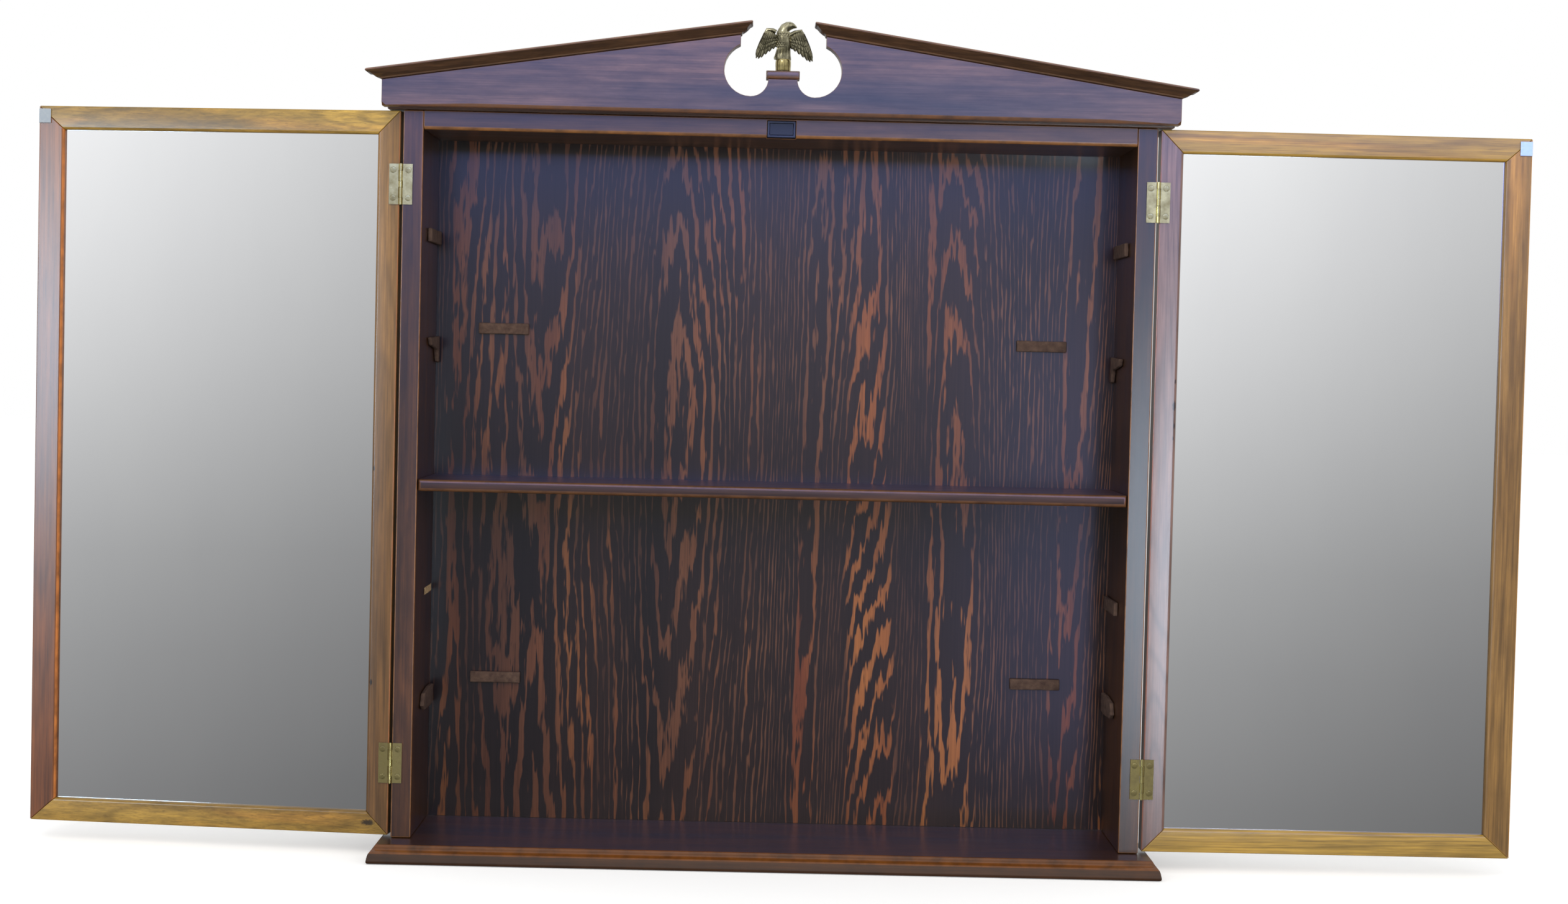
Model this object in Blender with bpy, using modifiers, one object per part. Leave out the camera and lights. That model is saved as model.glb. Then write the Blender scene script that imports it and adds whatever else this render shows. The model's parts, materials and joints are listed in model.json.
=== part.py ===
"""Wall-hung medicine cabinet: a wooden box with one shelf, two mirrored doors on butt
hinges, a moulded sill, a broken pediment and a brass eagle finial.

Frame: +X is to the right, -Y is towards the room, +Z is up. The origin is on the wall
plane, in the middle of the back panel's rear face. The doors are modelled wide open.
Metres throughout.
"""
import math

import bmesh
import bpy
from mathutils import Vector

TOUCH = 0.0003                # gap between faces that rest on each other

# Box
BOX_WIDTH = 0.7112            # over the two side boards
BOX_HEIGHT = 0.6892           # top of sill to underside of top plate
BOX_DEPTH = 0.1288            # wall to front edge of the side boards
SIDE_THICKNESS = 0.0189
TOP_THICKNESS = 0.0176
PANEL_THICKNESS = 0.0060      # plywood back
PANEL_REBATE = 0.0070         # how far the back reaches into each side board
SHELF_HEIGHT = 0.3414         # sill top to shelf top
SHELF_THICKNESS = 0.0112
SHELF_SETBACK = 0.0012        # shelf front behind the box front
SHELF_END_GAP = 0.0006
FRONT_EDGE_RADIUS = 0.0030    # rounded lower edge of the top board
SHELF_EDGE_RADIUS = 0.0030

# Sill
SILL_THICKNESS = 0.0175
SILL_FRONT = 0.0330           # flat ledge in front of the box
SILL_SIDE = 0.0080            # flat ledge beside the box
SILL_PROFILE = (              # outward, downward from the ledge's edge: step, ogee, fascia
    (0.0000, 0.0000), (0.0012, 0.0005), (0.0020, 0.0020), (0.0026, 0.0048),
    (0.0042, 0.0062), (0.0060, 0.0074), (0.0073, 0.0095), (0.0084, 0.0130),
    (0.0089, 0.0152), (0.0084, 0.0168), (0.0070, 0.0175))

# Pediment
PLATE_THICKNESS = 0.0095      # top plate over the box
PLATE_SIDE = 0.0149           # top plate beyond the box side
PEDIMENT_THICKNESS = 0.0189
PEDIMENT_FRONT = 0.0225       # pediment face in front of the box front
PEDIMENT_SIDE = 0.0179        # pediment end beyond the box side
PEDIMENT_LIFT = 0.0015        # pediment foot above the top plate's underside
PEDIMENT_EDGE_RADIUS = 0.0035
RAKE_FOOT_OUTER = 0.0256      # height of the sloping edge at the pediment's end
RAKE_LIP = 0.0089             # upright stretch from a scroll's end to the sloping edge
RAKE_INNER_X = 0.0400         # half width of the break between the two rakes
SCROLL_X = 0.0300             # centre of a scroll
SCROLL_RADIUS = 0.0250
SCROLL_FOOT = 0.0184          # lowest point of a scroll above the top plate's underside
PLINTH_WIDTH = 0.0272
CAP_HEIGHT = 0.0075
CAP_SIDE = 0.0021             # cap beyond the plinth, left and right
CAP_FRONT = 0.0020            # cap beyond the pediment face
CROWN_END_OUTER = 1.0         # share of the profile's projection at the outer return
CROWN_END_INNER = 0.8         # and at the inner return
CROWN_PROFILE = (             # outward, upward from the sloping edge: fillet, cove, nose
    (0.0000, 0.0000), (0.0014, 0.0004), (0.0016, 0.0018), (0.0040, 0.0026),
    (0.0075, 0.0044), (0.0108, 0.0070), (0.0132, 0.0077), (0.0141, 0.0088),
    (0.0134, 0.0099), (0.0112, 0.0104))
GLUE_BLOCK = (0.060, 0.018, 0.018)
GLUE_BLOCK_X = 0.200

# Finial
STEM_RADIUS = 0.0073
STEM_HEIGHT = 0.0112
EAGLE_HEIGHT = 0.0352         # feet to crown of head
EAGLE_SPAN = 0.0525
EAGLE_SHIFT = 0.0020          # the wings spread a little further to the right

# Doors and hinges
DOOR_THICKNESS = 0.0189
DOOR_SILL_GAP = 0.0025
DOOR_TOP_GAP = 0.0010
DOOR_MEETING_GAP = 0.0062     # between the two closed doors
HINGE_GAP = 0.0032            # between an open door and the side board
STILE_HINGE = 0.0217
STILE_FREE = 0.0250
RAIL = 0.0223
GROOVE_DEPTH = 0.0060         # in the frame's inner edge, for the mirrors
GROOVE_SLACK = 0.0010         # from the groove's bottom to the mirrors
MIRROR_THICKNESS = 0.0030
BACKING_THICKNESS = 0.0024
FRAME_EDGE_RADIUS = 0.0010
FRAME_LIP_RADIUS = 0.0030
OPEN_PAST_LEFT = math.radians(6.6)    # the doors stand open this far past straight
OPEN_PAST_RIGHT = math.radians(0.6)
HINGE_HEIGHT = 0.0381
HINGE_INSET = 0.0690          # door's end to the middle of a hinge
LEAF_WIDTH = 0.0111           # from the pin
LEAF_THICKNESS = 0.0010
LEAF_GAP = 0.0003             # between the two closed leaves
KNUCKLE_RADIUS = 0.0019
KNUCKLE_LONG = 0.0093         # the two knuckles on the box side
PIN_RADIUS = 0.0009
PIN_CLEARANCE = 0.0001
PIN_END = 0.0004              # pin beyond the knuckles

# Magnetic catch
CATCH_WIDTH = 0.0265
CATCH_HEIGHT = 0.0155
CATCH_DEPTH = 0.0140
CATCH_WALL = 0.0022
CATCH_GAP = 0.0003            # strike to magnet with the doors closed
STRIKE_WIDTH = 0.0116
STRIKE_HEIGHT = 0.0135
STRIKE_THICKNESS = 0.0010
STRIKE_DROP = 0.0028          # below the door's top

# Felt pads: a height is the share of its compartment's height, from the floor up
PAD_THICKNESS = 0.0040
BACK_PAD = (0.0500, 0.0110)
BACK_PADS = {                 # side, side board to the pad's middle, compartment, height
    "pad_back_upper_left": (-1, 0.0672, "upper", 0.4413),
    "pad_back_upper_right": (1, 0.0727, "upper", 0.4256),
    "pad_back_lower_left": (-1, 0.0652, "lower", 0.4255),
    "pad_back_lower_right": (1, 0.0705, "lower", 0.4391)}
SIDE_PAD = (0.0760, 0.0130)
SIDE_PADS = {                 # side, back panel to the pad, compartment, height
    "pad_side_upper_left": (-1, 0.0038, "upper", 0.7066),
    "pad_side_upper_right": (1, 0.0068, "upper", 0.7111),
    "pad_side_lower_right": (1, 0.0028, "lower", 0.6935)}
TORN_UPPER = (                # outline of a pad that has slumped: forward of the panel, up
    (0.0688, 0.0080), (0.0628, 0.0010), (0.0188, -0.0030), (0.0128, -0.0150),
    (0.0048, -0.0160), (0.0048, 0.0100))
TORN_LOWER = (
    (0.0768, -0.0040), (0.0668, -0.0090), (0.0228, -0.0110), (0.0048, -0.0090),
    (0.0048, 0.0090), (0.0348, 0.0100), (0.0688, 0.0070))
SLUMPED_PADS = {              # side, compartment, height, outline
    "pad_slumped_upper_left": (-1, "upper", 0.3837, TORN_UPPER),
    "pad_slumped_upper_right": (1, "upper", 0.3686, TORN_UPPER),
    "pad_slumped_lower_left": (-1, "lower", 0.3755, TORN_LOWER),
    "pad_slumped_lower_right": (1, "lower", 0.3937, TORN_LOWER)}

# Derived places
HALF = BOX_WIDTH / 2
INNER = HALF - SIDE_THICKNESS
FRONT = -BOX_DEPTH
SILL_TOP = -BOX_HEIGHT / 2
TOP = SILL_TOP + BOX_HEIGHT
CEILING = TOP - TOUCH - TOP_THICKNESS
SHELF_TOP = SILL_TOP + SHELF_HEIGHT
COMPARTMENTS = {"upper": (SHELF_TOP, CEILING), "lower": (SILL_TOP, SHELF_TOP - SHELF_THICKNESS)}
PANEL_FRONT = -PANEL_THICKNESS
PEDIMENT_FACE = FRONT - PEDIMENT_FRONT
PEDIMENT_BACK = PEDIMENT_FACE + PEDIMENT_THICKNESS
PEDIMENT_END = HALF + PEDIMENT_SIDE
SCROLL_STOP = math.acos((RAKE_INNER_X - SCROLL_X) / SCROLL_RADIUS)
RAKE_FOOT_INNER = SCROLL_FOOT + SCROLL_RADIUS * (1 + math.sin(SCROLL_STOP)) + RAKE_LIP
PLINTH_TOP = TOP + SCROLL_FOOT + SCROLL_X - PLINTH_WIDTH / 2
CAP_BASE = PLINTH_TOP + TOUCH
STEM_BASE = CAP_BASE + CAP_HEIGHT + TOUCH
EAGLE_BASE = STEM_BASE + STEM_HEIGHT + TOUCH
FINIAL_Y = (PEDIMENT_FACE + PEDIMENT_BACK) / 2

HINGE_OFFSET = LEAF_GAP / 2 + LEAF_THICKNESS + TOUCH    # pin to the wood on either side
AXIS_X = HALF + HINGE_GAP / 2
AXIS_Y = FRONT - HINGE_OFFSET
DOOR_START = HINGE_GAP / 2                              # pin to the door's hinge edge
DOOR_WIDTH = HALF - DOOR_MEETING_GAP / 2
DOOR_BOTTOM = SILL_TOP + DOOR_SILL_GAP
DOOR_TOP = TOP - DOOR_TOP_GAP
GROOVE = 2 * MIRROR_THICKNESS + BACKING_THICKNESS + 4 * TOUCH
LIP = (DOOR_THICKNESS - GROOVE) / 2
CATCH_PROUD = 2 * HINGE_OFFSET - TOUCH - STRIKE_THICKNESS - CATCH_GAP
CATCH_TOP = CEILING + TOUCH + CATCH_HEIGHT

WOOD = ("stained_wood", (0.130, 0.075, 0.042), 0.42, 0.0)
STILE_WOOD = ("stile_wood", (0.120, 0.062, 0.045), 0.42, 0.0)
RAIL_WOOD = ("rail_wood", (0.190, 0.120, 0.050), 0.42, 0.0)
PLYWOOD = ("plywood_back", (0.060, 0.030, 0.018), 0.50, 0.0)
BLOCK_WOOD = ("plain_wood", (0.420, 0.300, 0.180), 0.70, 0.0)
GLASS = ("mirror_glass", (0.780, 0.790, 0.800), 0.04, 1.0)
BOARD = ("backing_board", (0.230, 0.160, 0.100), 0.80, 0.0)
BRASS = ("brass", (0.640, 0.560, 0.330), 0.30, 1.0)
ZINC = ("zinc_plate", (0.620, 0.630, 0.640), 0.35, 1.0)
DARK_PLASTIC = ("catch_plastic", (0.020, 0.022, 0.030), 0.45, 0.0)
MAGNET = ("magnet", (0.050, 0.050, 0.055), 0.50, 0.0)
FELT = ("felt", (0.075, 0.052, 0.034), 0.95, 0.0)


def clear_scene():
    for old in list(bpy.data.objects):
        bpy.data.objects.remove(old)


def collection(name):
    group = bpy.data.collections.new(name)
    bpy.context.scene.collection.children.link(group)
    return group


def material(look):
    name, colour, roughness, metallic = look
    found = bpy.data.materials.get(name)
    if found:
        return found
    made = bpy.data.materials.new(name)
    made.use_nodes = True
    shader = made.node_tree.nodes["Principled BSDF"]
    shader.inputs["Base Color"].default_value = (*colour, 1.0)
    shader.inputs["Roughness"].default_value = roughness
    shader.inputs["Metallic"].default_value = metallic
    return made


def place(name, data, look, parent=None, group=None):
    """Put mesh or curve data into the cabinet's collection as a named piece."""
    piece = bpy.data.objects.new(name, data)
    (group or PIECES).objects.link(piece)
    if look:
        data.materials.append(material(look))
    piece.parent = parent
    return piece


def box_mesh(name, boxes):
    """A mesh with one cuboid for each (low corner, high corner)."""
    shape = bmesh.new()
    for low, high in boxes:
        low, high = Vector(low), Vector(high)
        made = bmesh.ops.create_cube(shape, size=1.0)["verts"]
        for vert in made:
            for i in range(3):
                vert.co[i] = low[i] + (vert.co[i] + 0.5) * (high[i] - low[i])
    mesh = bpy.data.meshes.new(name)
    shape.to_mesh(mesh)
    shape.free()
    return mesh


def box(name, low, high, look, parent=None):
    return place(name, box_mesh(name, [(low, high)]), look, parent)


def cutter(name, mesh):
    tool = place(name, mesh, None, group=CUTTERS)
    tool.hide_render = True
    tool.display_type = "WIRE"
    return tool


def cut(piece, tool):
    made = piece.modifiers.new(tool.name, "BOOLEAN")
    made.operation = "DIFFERENCE"
    made.solver = "EXACT"
    made.object = tool


def loft(name, rings, look, parent=None, capped=True):
    """Skin a row of rings that all have the same number of points."""
    shape = bmesh.new()
    loops = []
    for ring in rings:
        verts = [shape.verts.new(point) for point in ring]
        edges = [shape.edges.new((a, b)) for a, b in zip(verts, verts[1:] + verts[:1])]
        loops.append((verts, edges))
    for (_, lower), (_, upper) in zip(loops, loops[1:]):
        bmesh.ops.bridge_loops(shape, edges=lower + upper)
    if capped:
        shape.faces.new(loops[0][0])
        shape.faces.new(loops[-1][0])
    bmesh.ops.recalc_face_normals(shape, faces=shape.faces)
    mesh = bpy.data.meshes.new(name)
    shape.to_mesh(mesh)
    shape.free()
    return place(name, mesh, look, parent)


def flat_outline(name, outlines, thickness, look, parent=None):
    """A slab: closed outlines in the piece's XY plane, thickness along its Z."""
    curve = bpy.data.curves.new(name, "CURVE")
    curve.dimensions = "2D"
    curve.fill_mode = "BOTH"
    curve.extrude = thickness / 2
    for outline in outlines:
        spline = curve.splines.new("POLY")
        spline.points.add(len(outline) - 1)
        for point, (x, y) in zip(spline.points, outline):
            point.co = (x, y, 0.0, 1.0)
        spline.use_cyclic_u = True
    return place(name, curve, look, parent)


def as_mesh(piece):
    """Turn a curve piece into a mesh piece with its caps welded on."""
    bpy.context.view_layer.update()
    seen = bpy.context.evaluated_depsgraph_get()
    mesh = bpy.data.meshes.new_from_object(piece.evaluated_get(seen))
    shape = bmesh.new()
    shape.from_mesh(mesh)
    bmesh.ops.remove_doubles(shape, verts=shape.verts, dist=0.00001)
    bmesh.ops.recalc_face_normals(shape, faces=shape.faces)
    shape.to_mesh(mesh)
    shape.free()
    name, parent = piece.name, piece.parent
    matrix, basis = piece.matrix_world.copy(), piece.matrix_basis.copy()
    bpy.data.objects.remove(piece)
    made = bpy.data.objects.new(name, mesh)
    PIECES.objects.link(made)
    made.parent = parent
    if parent:
        made.matrix_basis = basis
    else:
        made.matrix_world = matrix
    return made


def arc(centre, radius, start, end, steps):
    """Points on an arc, angles in degrees."""
    points = []
    for i in range(steps + 1):
        angle = math.radians(start + (end - start) * i / steps)
        points.append((centre[0] + radius * math.cos(angle), centre[1] + radius * math.sin(angle)))
    return points


def bevel_edges(piece, radius, chosen, steps=3):
    """Round the edges whose two ends both pass the test."""
    shape = bmesh.new()
    shape.from_mesh(piece.data)
    edges = [edge for edge in shape.edges if all(chosen(vert.co) for vert in edge.verts)]
    bmesh.ops.bevel(shape, geom=edges, offset=radius, segments=steps, profile=0.5, affect="EDGES")
    shape.to_mesh(piece.data)
    shape.free()


def near(value, target):
    return abs(value - target) < 0.00001


# The box -----------------------------------------------------------------------------


def side_boards():
    rebate_front = PANEL_FRONT - TOUCH
    for side, name in ((-1, "side_left"), (1, "side_right")):
        across = sorted((side * INNER, side * HALF))
        board = box(name, (across[0], FRONT, SILL_TOP + TOUCH), (across[1], 0, TOP - TOUCH), WOOD)
        rebate = sorted((side * (INNER - TOUCH), side * (INNER + PANEL_REBATE)))
        tool = cutter(name + "_rebate", box_mesh(name + "_rebate", [(
            (rebate[0], rebate_front, SILL_TOP - SILL_THICKNESS),
            (rebate[1], PANEL_THICKNESS, TOP + PLATE_THICKNESS))]))
        cut(board, tool)


def top_board():
    board = box("top_board", (-INNER + TOUCH, FRONT, CEILING),
                (INNER - TOUCH, PANEL_FRONT - TOUCH, TOP - TOUCH), WOOD)
    bevel_edges(board, FRONT_EDGE_RADIUS, lambda co: near(co.y, FRONT) and near(co.z, CEILING))
    half = CATCH_WIDTH / 2 + TOUCH
    tool = cutter("catch_notch", box_mesh("catch_notch", [(
        (-half, FRONT - CATCH_DEPTH, CEILING - CATCH_HEIGHT),
        (half, FRONT - CATCH_PROUD + CATCH_DEPTH + TOUCH, CATCH_TOP + TOUCH))]))
    cut(board, tool)


def back_panel():
    reach = INNER + PANEL_REBATE - TOUCH
    box("back_panel", (-reach, PANEL_FRONT, SILL_TOP + TOUCH), (reach, 0, TOP - TOUCH), PLYWOOD)


def shelf():
    reach = INNER - SHELF_END_GAP
    front = FRONT + SHELF_SETBACK
    board = box("shelf", (-reach, front, SHELF_TOP - SHELF_THICKNESS),
                (reach, PANEL_FRONT - TOUCH, SHELF_TOP), WOOD)
    bevel_edges(board, SHELF_EDGE_RADIUS, lambda co: near(co.y, front))


def tray_ring(half, front, back, outward, height):
    """A rectangle that grows to the left, right and front, but not to the back."""
    left, right, near_y = -half - outward, half + outward, front - outward
    return [(left, back, height), (left, near_y, height), (right, near_y, height),
            (right, back, height)]


def sill():
    front = FRONT - SILL_FRONT
    stretch = SILL_THICKNESS / SILL_PROFILE[-1][1]
    rings = [tray_ring(HALF + SILL_SIDE, front, 0, out, SILL_TOP - down * stretch)
             for out, down in SILL_PROFILE]
    loft("sill", rings, WOOD)


# The pediment ------------------------------------------------------------------------


def rake_height(across):
    """Height of the pediment's sloping edge at a distance from the middle."""
    share = (across - RAKE_INNER_X) / (PEDIMENT_END - RAKE_INNER_X)
    return TOP + RAKE_FOOT_INNER + share * (RAKE_FOOT_OUTER - RAKE_FOOT_INNER)


def pediment_half_outline():
    """From the plinth's top corner, round the scroll and down the end, on the right."""
    foot = TOP + SCROLL_FOOT
    inner_radius = SCROLL_X - PLINTH_WIDTH / 2
    points = arc((SCROLL_X, foot + inner_radius), inner_radius, 180, 270, 8)[:-1]
    points += arc((SCROLL_X, foot + SCROLL_RADIUS), SCROLL_RADIUS, -90,
                  math.degrees(SCROLL_STOP), 14)
    points += [(RAKE_INNER_X, rake_height(RAKE_INNER_X)), (PEDIMENT_END, rake_height(PEDIMENT_END)),
               (PEDIMENT_END, TOP + PEDIMENT_LIFT)]
    return points


def pediment_board():
    half = pediment_half_outline()
    outline = half + [(-x, z) for x, z in reversed(half)]
    board = flat_outline("pediment_board", [outline], PEDIMENT_THICKNESS, WOOD)
    board.rotation_euler = (math.radians(90), 0, 0)
    board.location = (0, (PEDIMENT_FACE + PEDIMENT_BACK) / 2, 0)
    board = as_mesh(board)
    face = PEDIMENT_THICKNESS / 2
    foot = TOP + PEDIMENT_LIFT
    bevel_edges(board, PEDIMENT_EDGE_RADIUS, lambda co: near(co.z, face) and near(co.y, foot))


def top_plate():
    half = HALF + PLATE_SIDE
    box("top_plate", (-half, PEDIMENT_BACK + TOUCH, TOP), (half, 0, TOP + PLATE_THICKNESS), WOOD)


def crown(name, side):
    """Sloping crown moulding that returns round both its ends."""
    rings = []
    for out, up in CROWN_PROFILE:
        inner = RAKE_INNER_X - out * CROWN_END_INNER
        outer = PEDIMENT_END + out * CROWN_END_OUTER
        low, high = rake_height(outer) + TOUCH + up, rake_height(inner) + TOUCH + up
        rings.append([(side * inner, PEDIMENT_BACK, high), (side * inner, PEDIMENT_FACE - out, high),
                      (side * outer, PEDIMENT_FACE - out, low), (side * outer, PEDIMENT_BACK, low)])
    loft(name, rings, WOOD)


def plinth_cap():
    half = PLINTH_WIDTH / 2 + CAP_SIDE
    low = (-half, PEDIMENT_FACE - CAP_FRONT, CAP_BASE)
    high = (half, PEDIMENT_BACK, CAP_BASE + CAP_HEIGHT)
    cap = box("plinth_cap", low, high, WOOD)
    bevel_edges(cap, CAP_HEIGHT * 0.3, lambda co: near(co.y, low[1]), steps=2)


def glue_blocks():
    length, depth, height = GLUE_BLOCK
    for side, name in ((-1, "glue_block_left"), (1, "glue_block_right")):
        middle = side * GLUE_BLOCK_X
        base = TOP + PLATE_THICKNESS + TOUCH
        box(name, (middle - length / 2, PEDIMENT_BACK + TOUCH, base),
            (middle + length / 2, PEDIMENT_BACK + TOUCH + depth, base + height), BLOCK_WOOD)


# The finial --------------------------------------------------------------------------


def finial_stem():
    profile = ((0, STEM_HEIGHT), (STEM_RADIUS * 0.9, STEM_HEIGHT), (STEM_RADIUS, STEM_HEIGHT * 0.93),
               (STEM_RADIUS, STEM_HEIGHT * 0.07), (STEM_RADIUS * 0.9, 0), (0, 0))
    mesh = bpy.data.meshes.new("finial_stem")
    edges = [(i, i + 1) for i in range(len(profile) - 1)]
    mesh.from_pydata([(x, 0, z) for x, z in profile], edges, [])
    stem = place("finial_stem", mesh, BRASS)
    stem.location = (0, FINIAL_Y, STEM_BASE)
    turn = stem.modifiers.new("turn", "SCREW")
    turn.steps = 24
    turn.render_steps = 24
    turn.use_merge_vertices = True
    turn.merge_threshold = 0.00001
    turn.use_normal_calculate = True


def ball(group, place_at, radii, segments=16, rings=10):
    made = bmesh.ops.create_uvsphere(group, u_segments=segments, v_segments=rings, radius=1.0)
    for vert in made["verts"]:
        vert.co = Vector((vert.co.x * radii[0], vert.co.y * radii[1], vert.co.z * radii[2]))
        vert.co += Vector(place_at)


def eagle_part(name, build):
    shape = bmesh.new()
    build(shape)
    mesh = bpy.data.meshes.new(name)
    shape.to_mesh(mesh)
    shape.free()
    return mesh


def wing_outline(side):
    """One drooping wing, seen from the front, in shares of half the span and the height."""
    half, tall = EAGLE_SPAN / 2, EAGLE_HEIGHT
    shares = ((0.02, 0.20), (0.30, 0.10), (0.62, 0.02), (0.96, -0.04), (1.00, 0.06), (0.90, 0.42),
              (0.80, 0.66), (0.62, 0.80), (0.44, 0.79), (0.22, 0.62), (0.02, 0.56))
    return [(side * x * half, z * tall) for x, z in shares]


def eagle():
    """Body, head and beak as one ball-built solid, joined to two slab wings."""
    tall = EAGLE_HEIGHT
    body = place("eagle_finial", eagle_part("eagle_finial", lambda shape: ball(
        shape, (0, 0, tall * 0.38), (tall * 0.17, tall * 0.17, tall * 0.38))), BRASS)
    body.location = (EAGLE_SHIFT, FINIAL_Y, EAGLE_BASE)
    head = eagle_part("eagle_head", lambda shape: ball(
        shape, (tall * 0.11, -tall * 0.05, tall * 0.87), (tall * 0.13, tall * 0.11, tall * 0.13)))
    beak = eagle_part("eagle_beak", lambda shape: ball(
        shape, (tall * 0.26, -tall * 0.06, tall * 0.83), (tall * 0.09, tall * 0.05, tall * 0.06),
        10, 6))
    neck = eagle_part("eagle_neck", lambda shape: ball(
        shape, (tall * 0.05, -tall * 0.02, tall * 0.70), (tall * 0.13, tall * 0.12, tall * 0.17)))
    tools = [cutter(mesh.name, mesh) for mesh in (neck, head, beak)]
    for side, name in ((-1, "eagle_wing_left"), (1, "eagle_wing_right")):
        wing = flat_outline(name, [wing_outline(side)], tall * 0.14, None)
        wing.rotation_euler = (math.radians(90), 0, 0)
        wing = as_mesh(wing)
        PIECES.objects.unlink(wing)
        CUTTERS.objects.link(wing)
        wing.hide_render = True
        wing.display_type = "WIRE"
        tools.append(wing)
    for tool in tools:
        tool.location = body.location
        join = body.modifiers.new(tool.name, "BOOLEAN")
        join.operation = "UNION"
        join.solver = "EXACT"
        join.object = tool


# Catch and pads ----------------------------------------------------------------------


def catch():
    half = CATCH_WIDTH / 2
    front, back = FRONT - CATCH_PROUD, FRONT - CATCH_PROUD + CATCH_DEPTH
    base = CATCH_TOP - CATCH_HEIGHT
    case = box("catch_case", (-half, front, base), (half, back, CATCH_TOP), DARK_PLASTIC)
    wall = CATCH_WALL
    pocket = box_mesh("catch_pocket", [(
        (-half + wall, front - wall, base + wall), (half - wall, back - wall, CATCH_TOP - wall))])
    cut(case, cutter("catch_pocket", pocket))
    inset = wall + TOUCH
    box("catch_magnet", (-half + inset, front, base + inset),
        (half - inset, back - inset, CATCH_TOP - inset), MAGNET)


def pad_level(compartment, share):
    floor, ceiling = COMPARTMENTS[compartment]
    return floor + share * (ceiling - floor)


def back_pads():
    back = PANEL_FRONT - TOUCH
    length, tall = BACK_PAD
    for name, (side, inset, compartment, share) in BACK_PADS.items():
        across, level = side * (INNER - inset), pad_level(compartment, share)
        box(name, (across - length / 2, back - PAD_THICKNESS, level - tall / 2),
            (across + length / 2, back, level + tall / 2), FELT)


def side_pads():
    outer = INNER - TOUCH
    length, tall = SIDE_PAD
    for name, (side, inset, compartment, share) in SIDE_PADS.items():
        across = sorted((side * outer, side * (outer - PAD_THICKNESS)))
        back, level = PANEL_FRONT - inset, pad_level(compartment, share)
        box(name, (across[0], back - length, level - tall / 2),
            (across[1], back, level + tall / 2), FELT)


def slumped_pads():
    for name, (side, compartment, share, outline) in SLUMPED_PADS.items():
        pad = flat_outline(name, [[(-forward, up) for forward, up in outline]],
                           PAD_THICKNESS, FELT)
        pad.rotation_euler = (math.radians(90), 0, math.radians(90))
        pad.location = (side * (INNER - TOUCH - PAD_THICKNESS / 2), PANEL_FRONT,
                        pad_level(compartment, share))


# Doors -------------------------------------------------------------------------------


def member_profile(width):
    """Section of a frame member: distance in from its outer edge, depth from its inner face."""
    back, lip, edge = DOOR_THICKNESS, FRAME_LIP_RADIUS, FRAME_EDGE_RADIUS
    points = [(0, back - edge), (0, edge), (edge, 0)]
    points += [(x, y) for x, y in arc((width - lip, lip), lip, -90, 0, 4)]
    points += [(width, LIP), (width - GROOVE_DEPTH, LIP), (width - GROOVE_DEPTH, back - LIP),
               (width, back - LIP)]
    points += [(x, y) for x, y in arc((width - lip, back - lip), lip, 0, 90, 4)]
    points += [(edge, back)]
    return points


def frame_member(name, side, start, along, inward, length, width, ends, look, pivot):
    """A mitred member; start, along and inward are (outward, up) in the door's plane."""
    rings = []
    for at_end in (False, True):
        ring = []
        for across, depth in member_profile(width):
            slope = ends[at_end] / width
            reach = across * slope + TOUCH * 0.75
            travel = length - reach if at_end else reach
            out = start[0] + along[0] * travel + inward[0] * across
            up = start[1] + along[1] * travel + inward[1] * across
            ring.append((side * out, HINGE_OFFSET + depth, up))
        rings.append(ring)
    loft(name, rings, look, pivot)


def door_frame(side, label, pivot):
    low, high = (DOOR_START, DOOR_BOTTOM), (DOOR_START + DOOR_WIDTH, DOOR_TOP)
    tall = DOOR_TOP - DOOR_BOTTOM
    rail_ends, stile_ends = (STILE_HINGE, STILE_FREE), (RAIL, RAIL)
    frame_member(f"door_{label}_rail_bottom", side, low, (1, 0), (0, 1), DOOR_WIDTH, RAIL,
                 rail_ends, RAIL_WOOD, pivot)
    frame_member(f"door_{label}_rail_top", side, (low[0], high[1]), (1, 0), (0, -1), DOOR_WIDTH, RAIL,
                 rail_ends, RAIL_WOOD, pivot)
    frame_member(f"door_{label}_stile_hinge", side, low, (0, 1), (1, 0), tall, STILE_HINGE,
                 stile_ends, STILE_WOOD, pivot)
    frame_member(f"door_{label}_stile_free", side, (high[0], low[1]), (0, 1), (-1, 0), tall, STILE_FREE,
                 stile_ends, STILE_WOOD, pivot)


def door_panels(side, label, pivot):
    """Two mirrors back to back with a board between them, held in the frame's groove."""
    into = GROOVE_DEPTH - GROOVE_SLACK
    out = sorted((side * (DOOR_START + STILE_HINGE - into),
                  side * (DOOR_START + DOOR_WIDTH - STILE_FREE + into)))
    up = (DOOR_BOTTOM + RAIL - into, DOOR_TOP - RAIL + into)
    depth = HINGE_OFFSET + LIP + TOUCH / 2
    for name, thick, look in (("mirror_inner", MIRROR_THICKNESS, GLASS),
                              ("backing", BACKING_THICKNESS, BOARD),
                              ("mirror_outer", MIRROR_THICKNESS, GLASS)):
        box(f"door_{label}_{name}", (out[0], depth, up[0]), (out[1], depth + thick, up[1]), look, pivot)
        depth += thick + TOUCH


def strike(side, label, pivot):
    free = DOOR_START + DOOR_WIDTH - TOUCH
    out = sorted((side * free, side * (free - STRIKE_WIDTH)))
    top = DOOR_TOP - STRIKE_DROP
    face = HINGE_OFFSET - TOUCH
    box(f"door_{label}_strike", (out[0], face - STRIKE_THICKNESS, top - STRIKE_HEIGHT),
        (out[1], face, top), ZINC, pivot)


# Hinges ------------------------------------------------------------------------------


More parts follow.
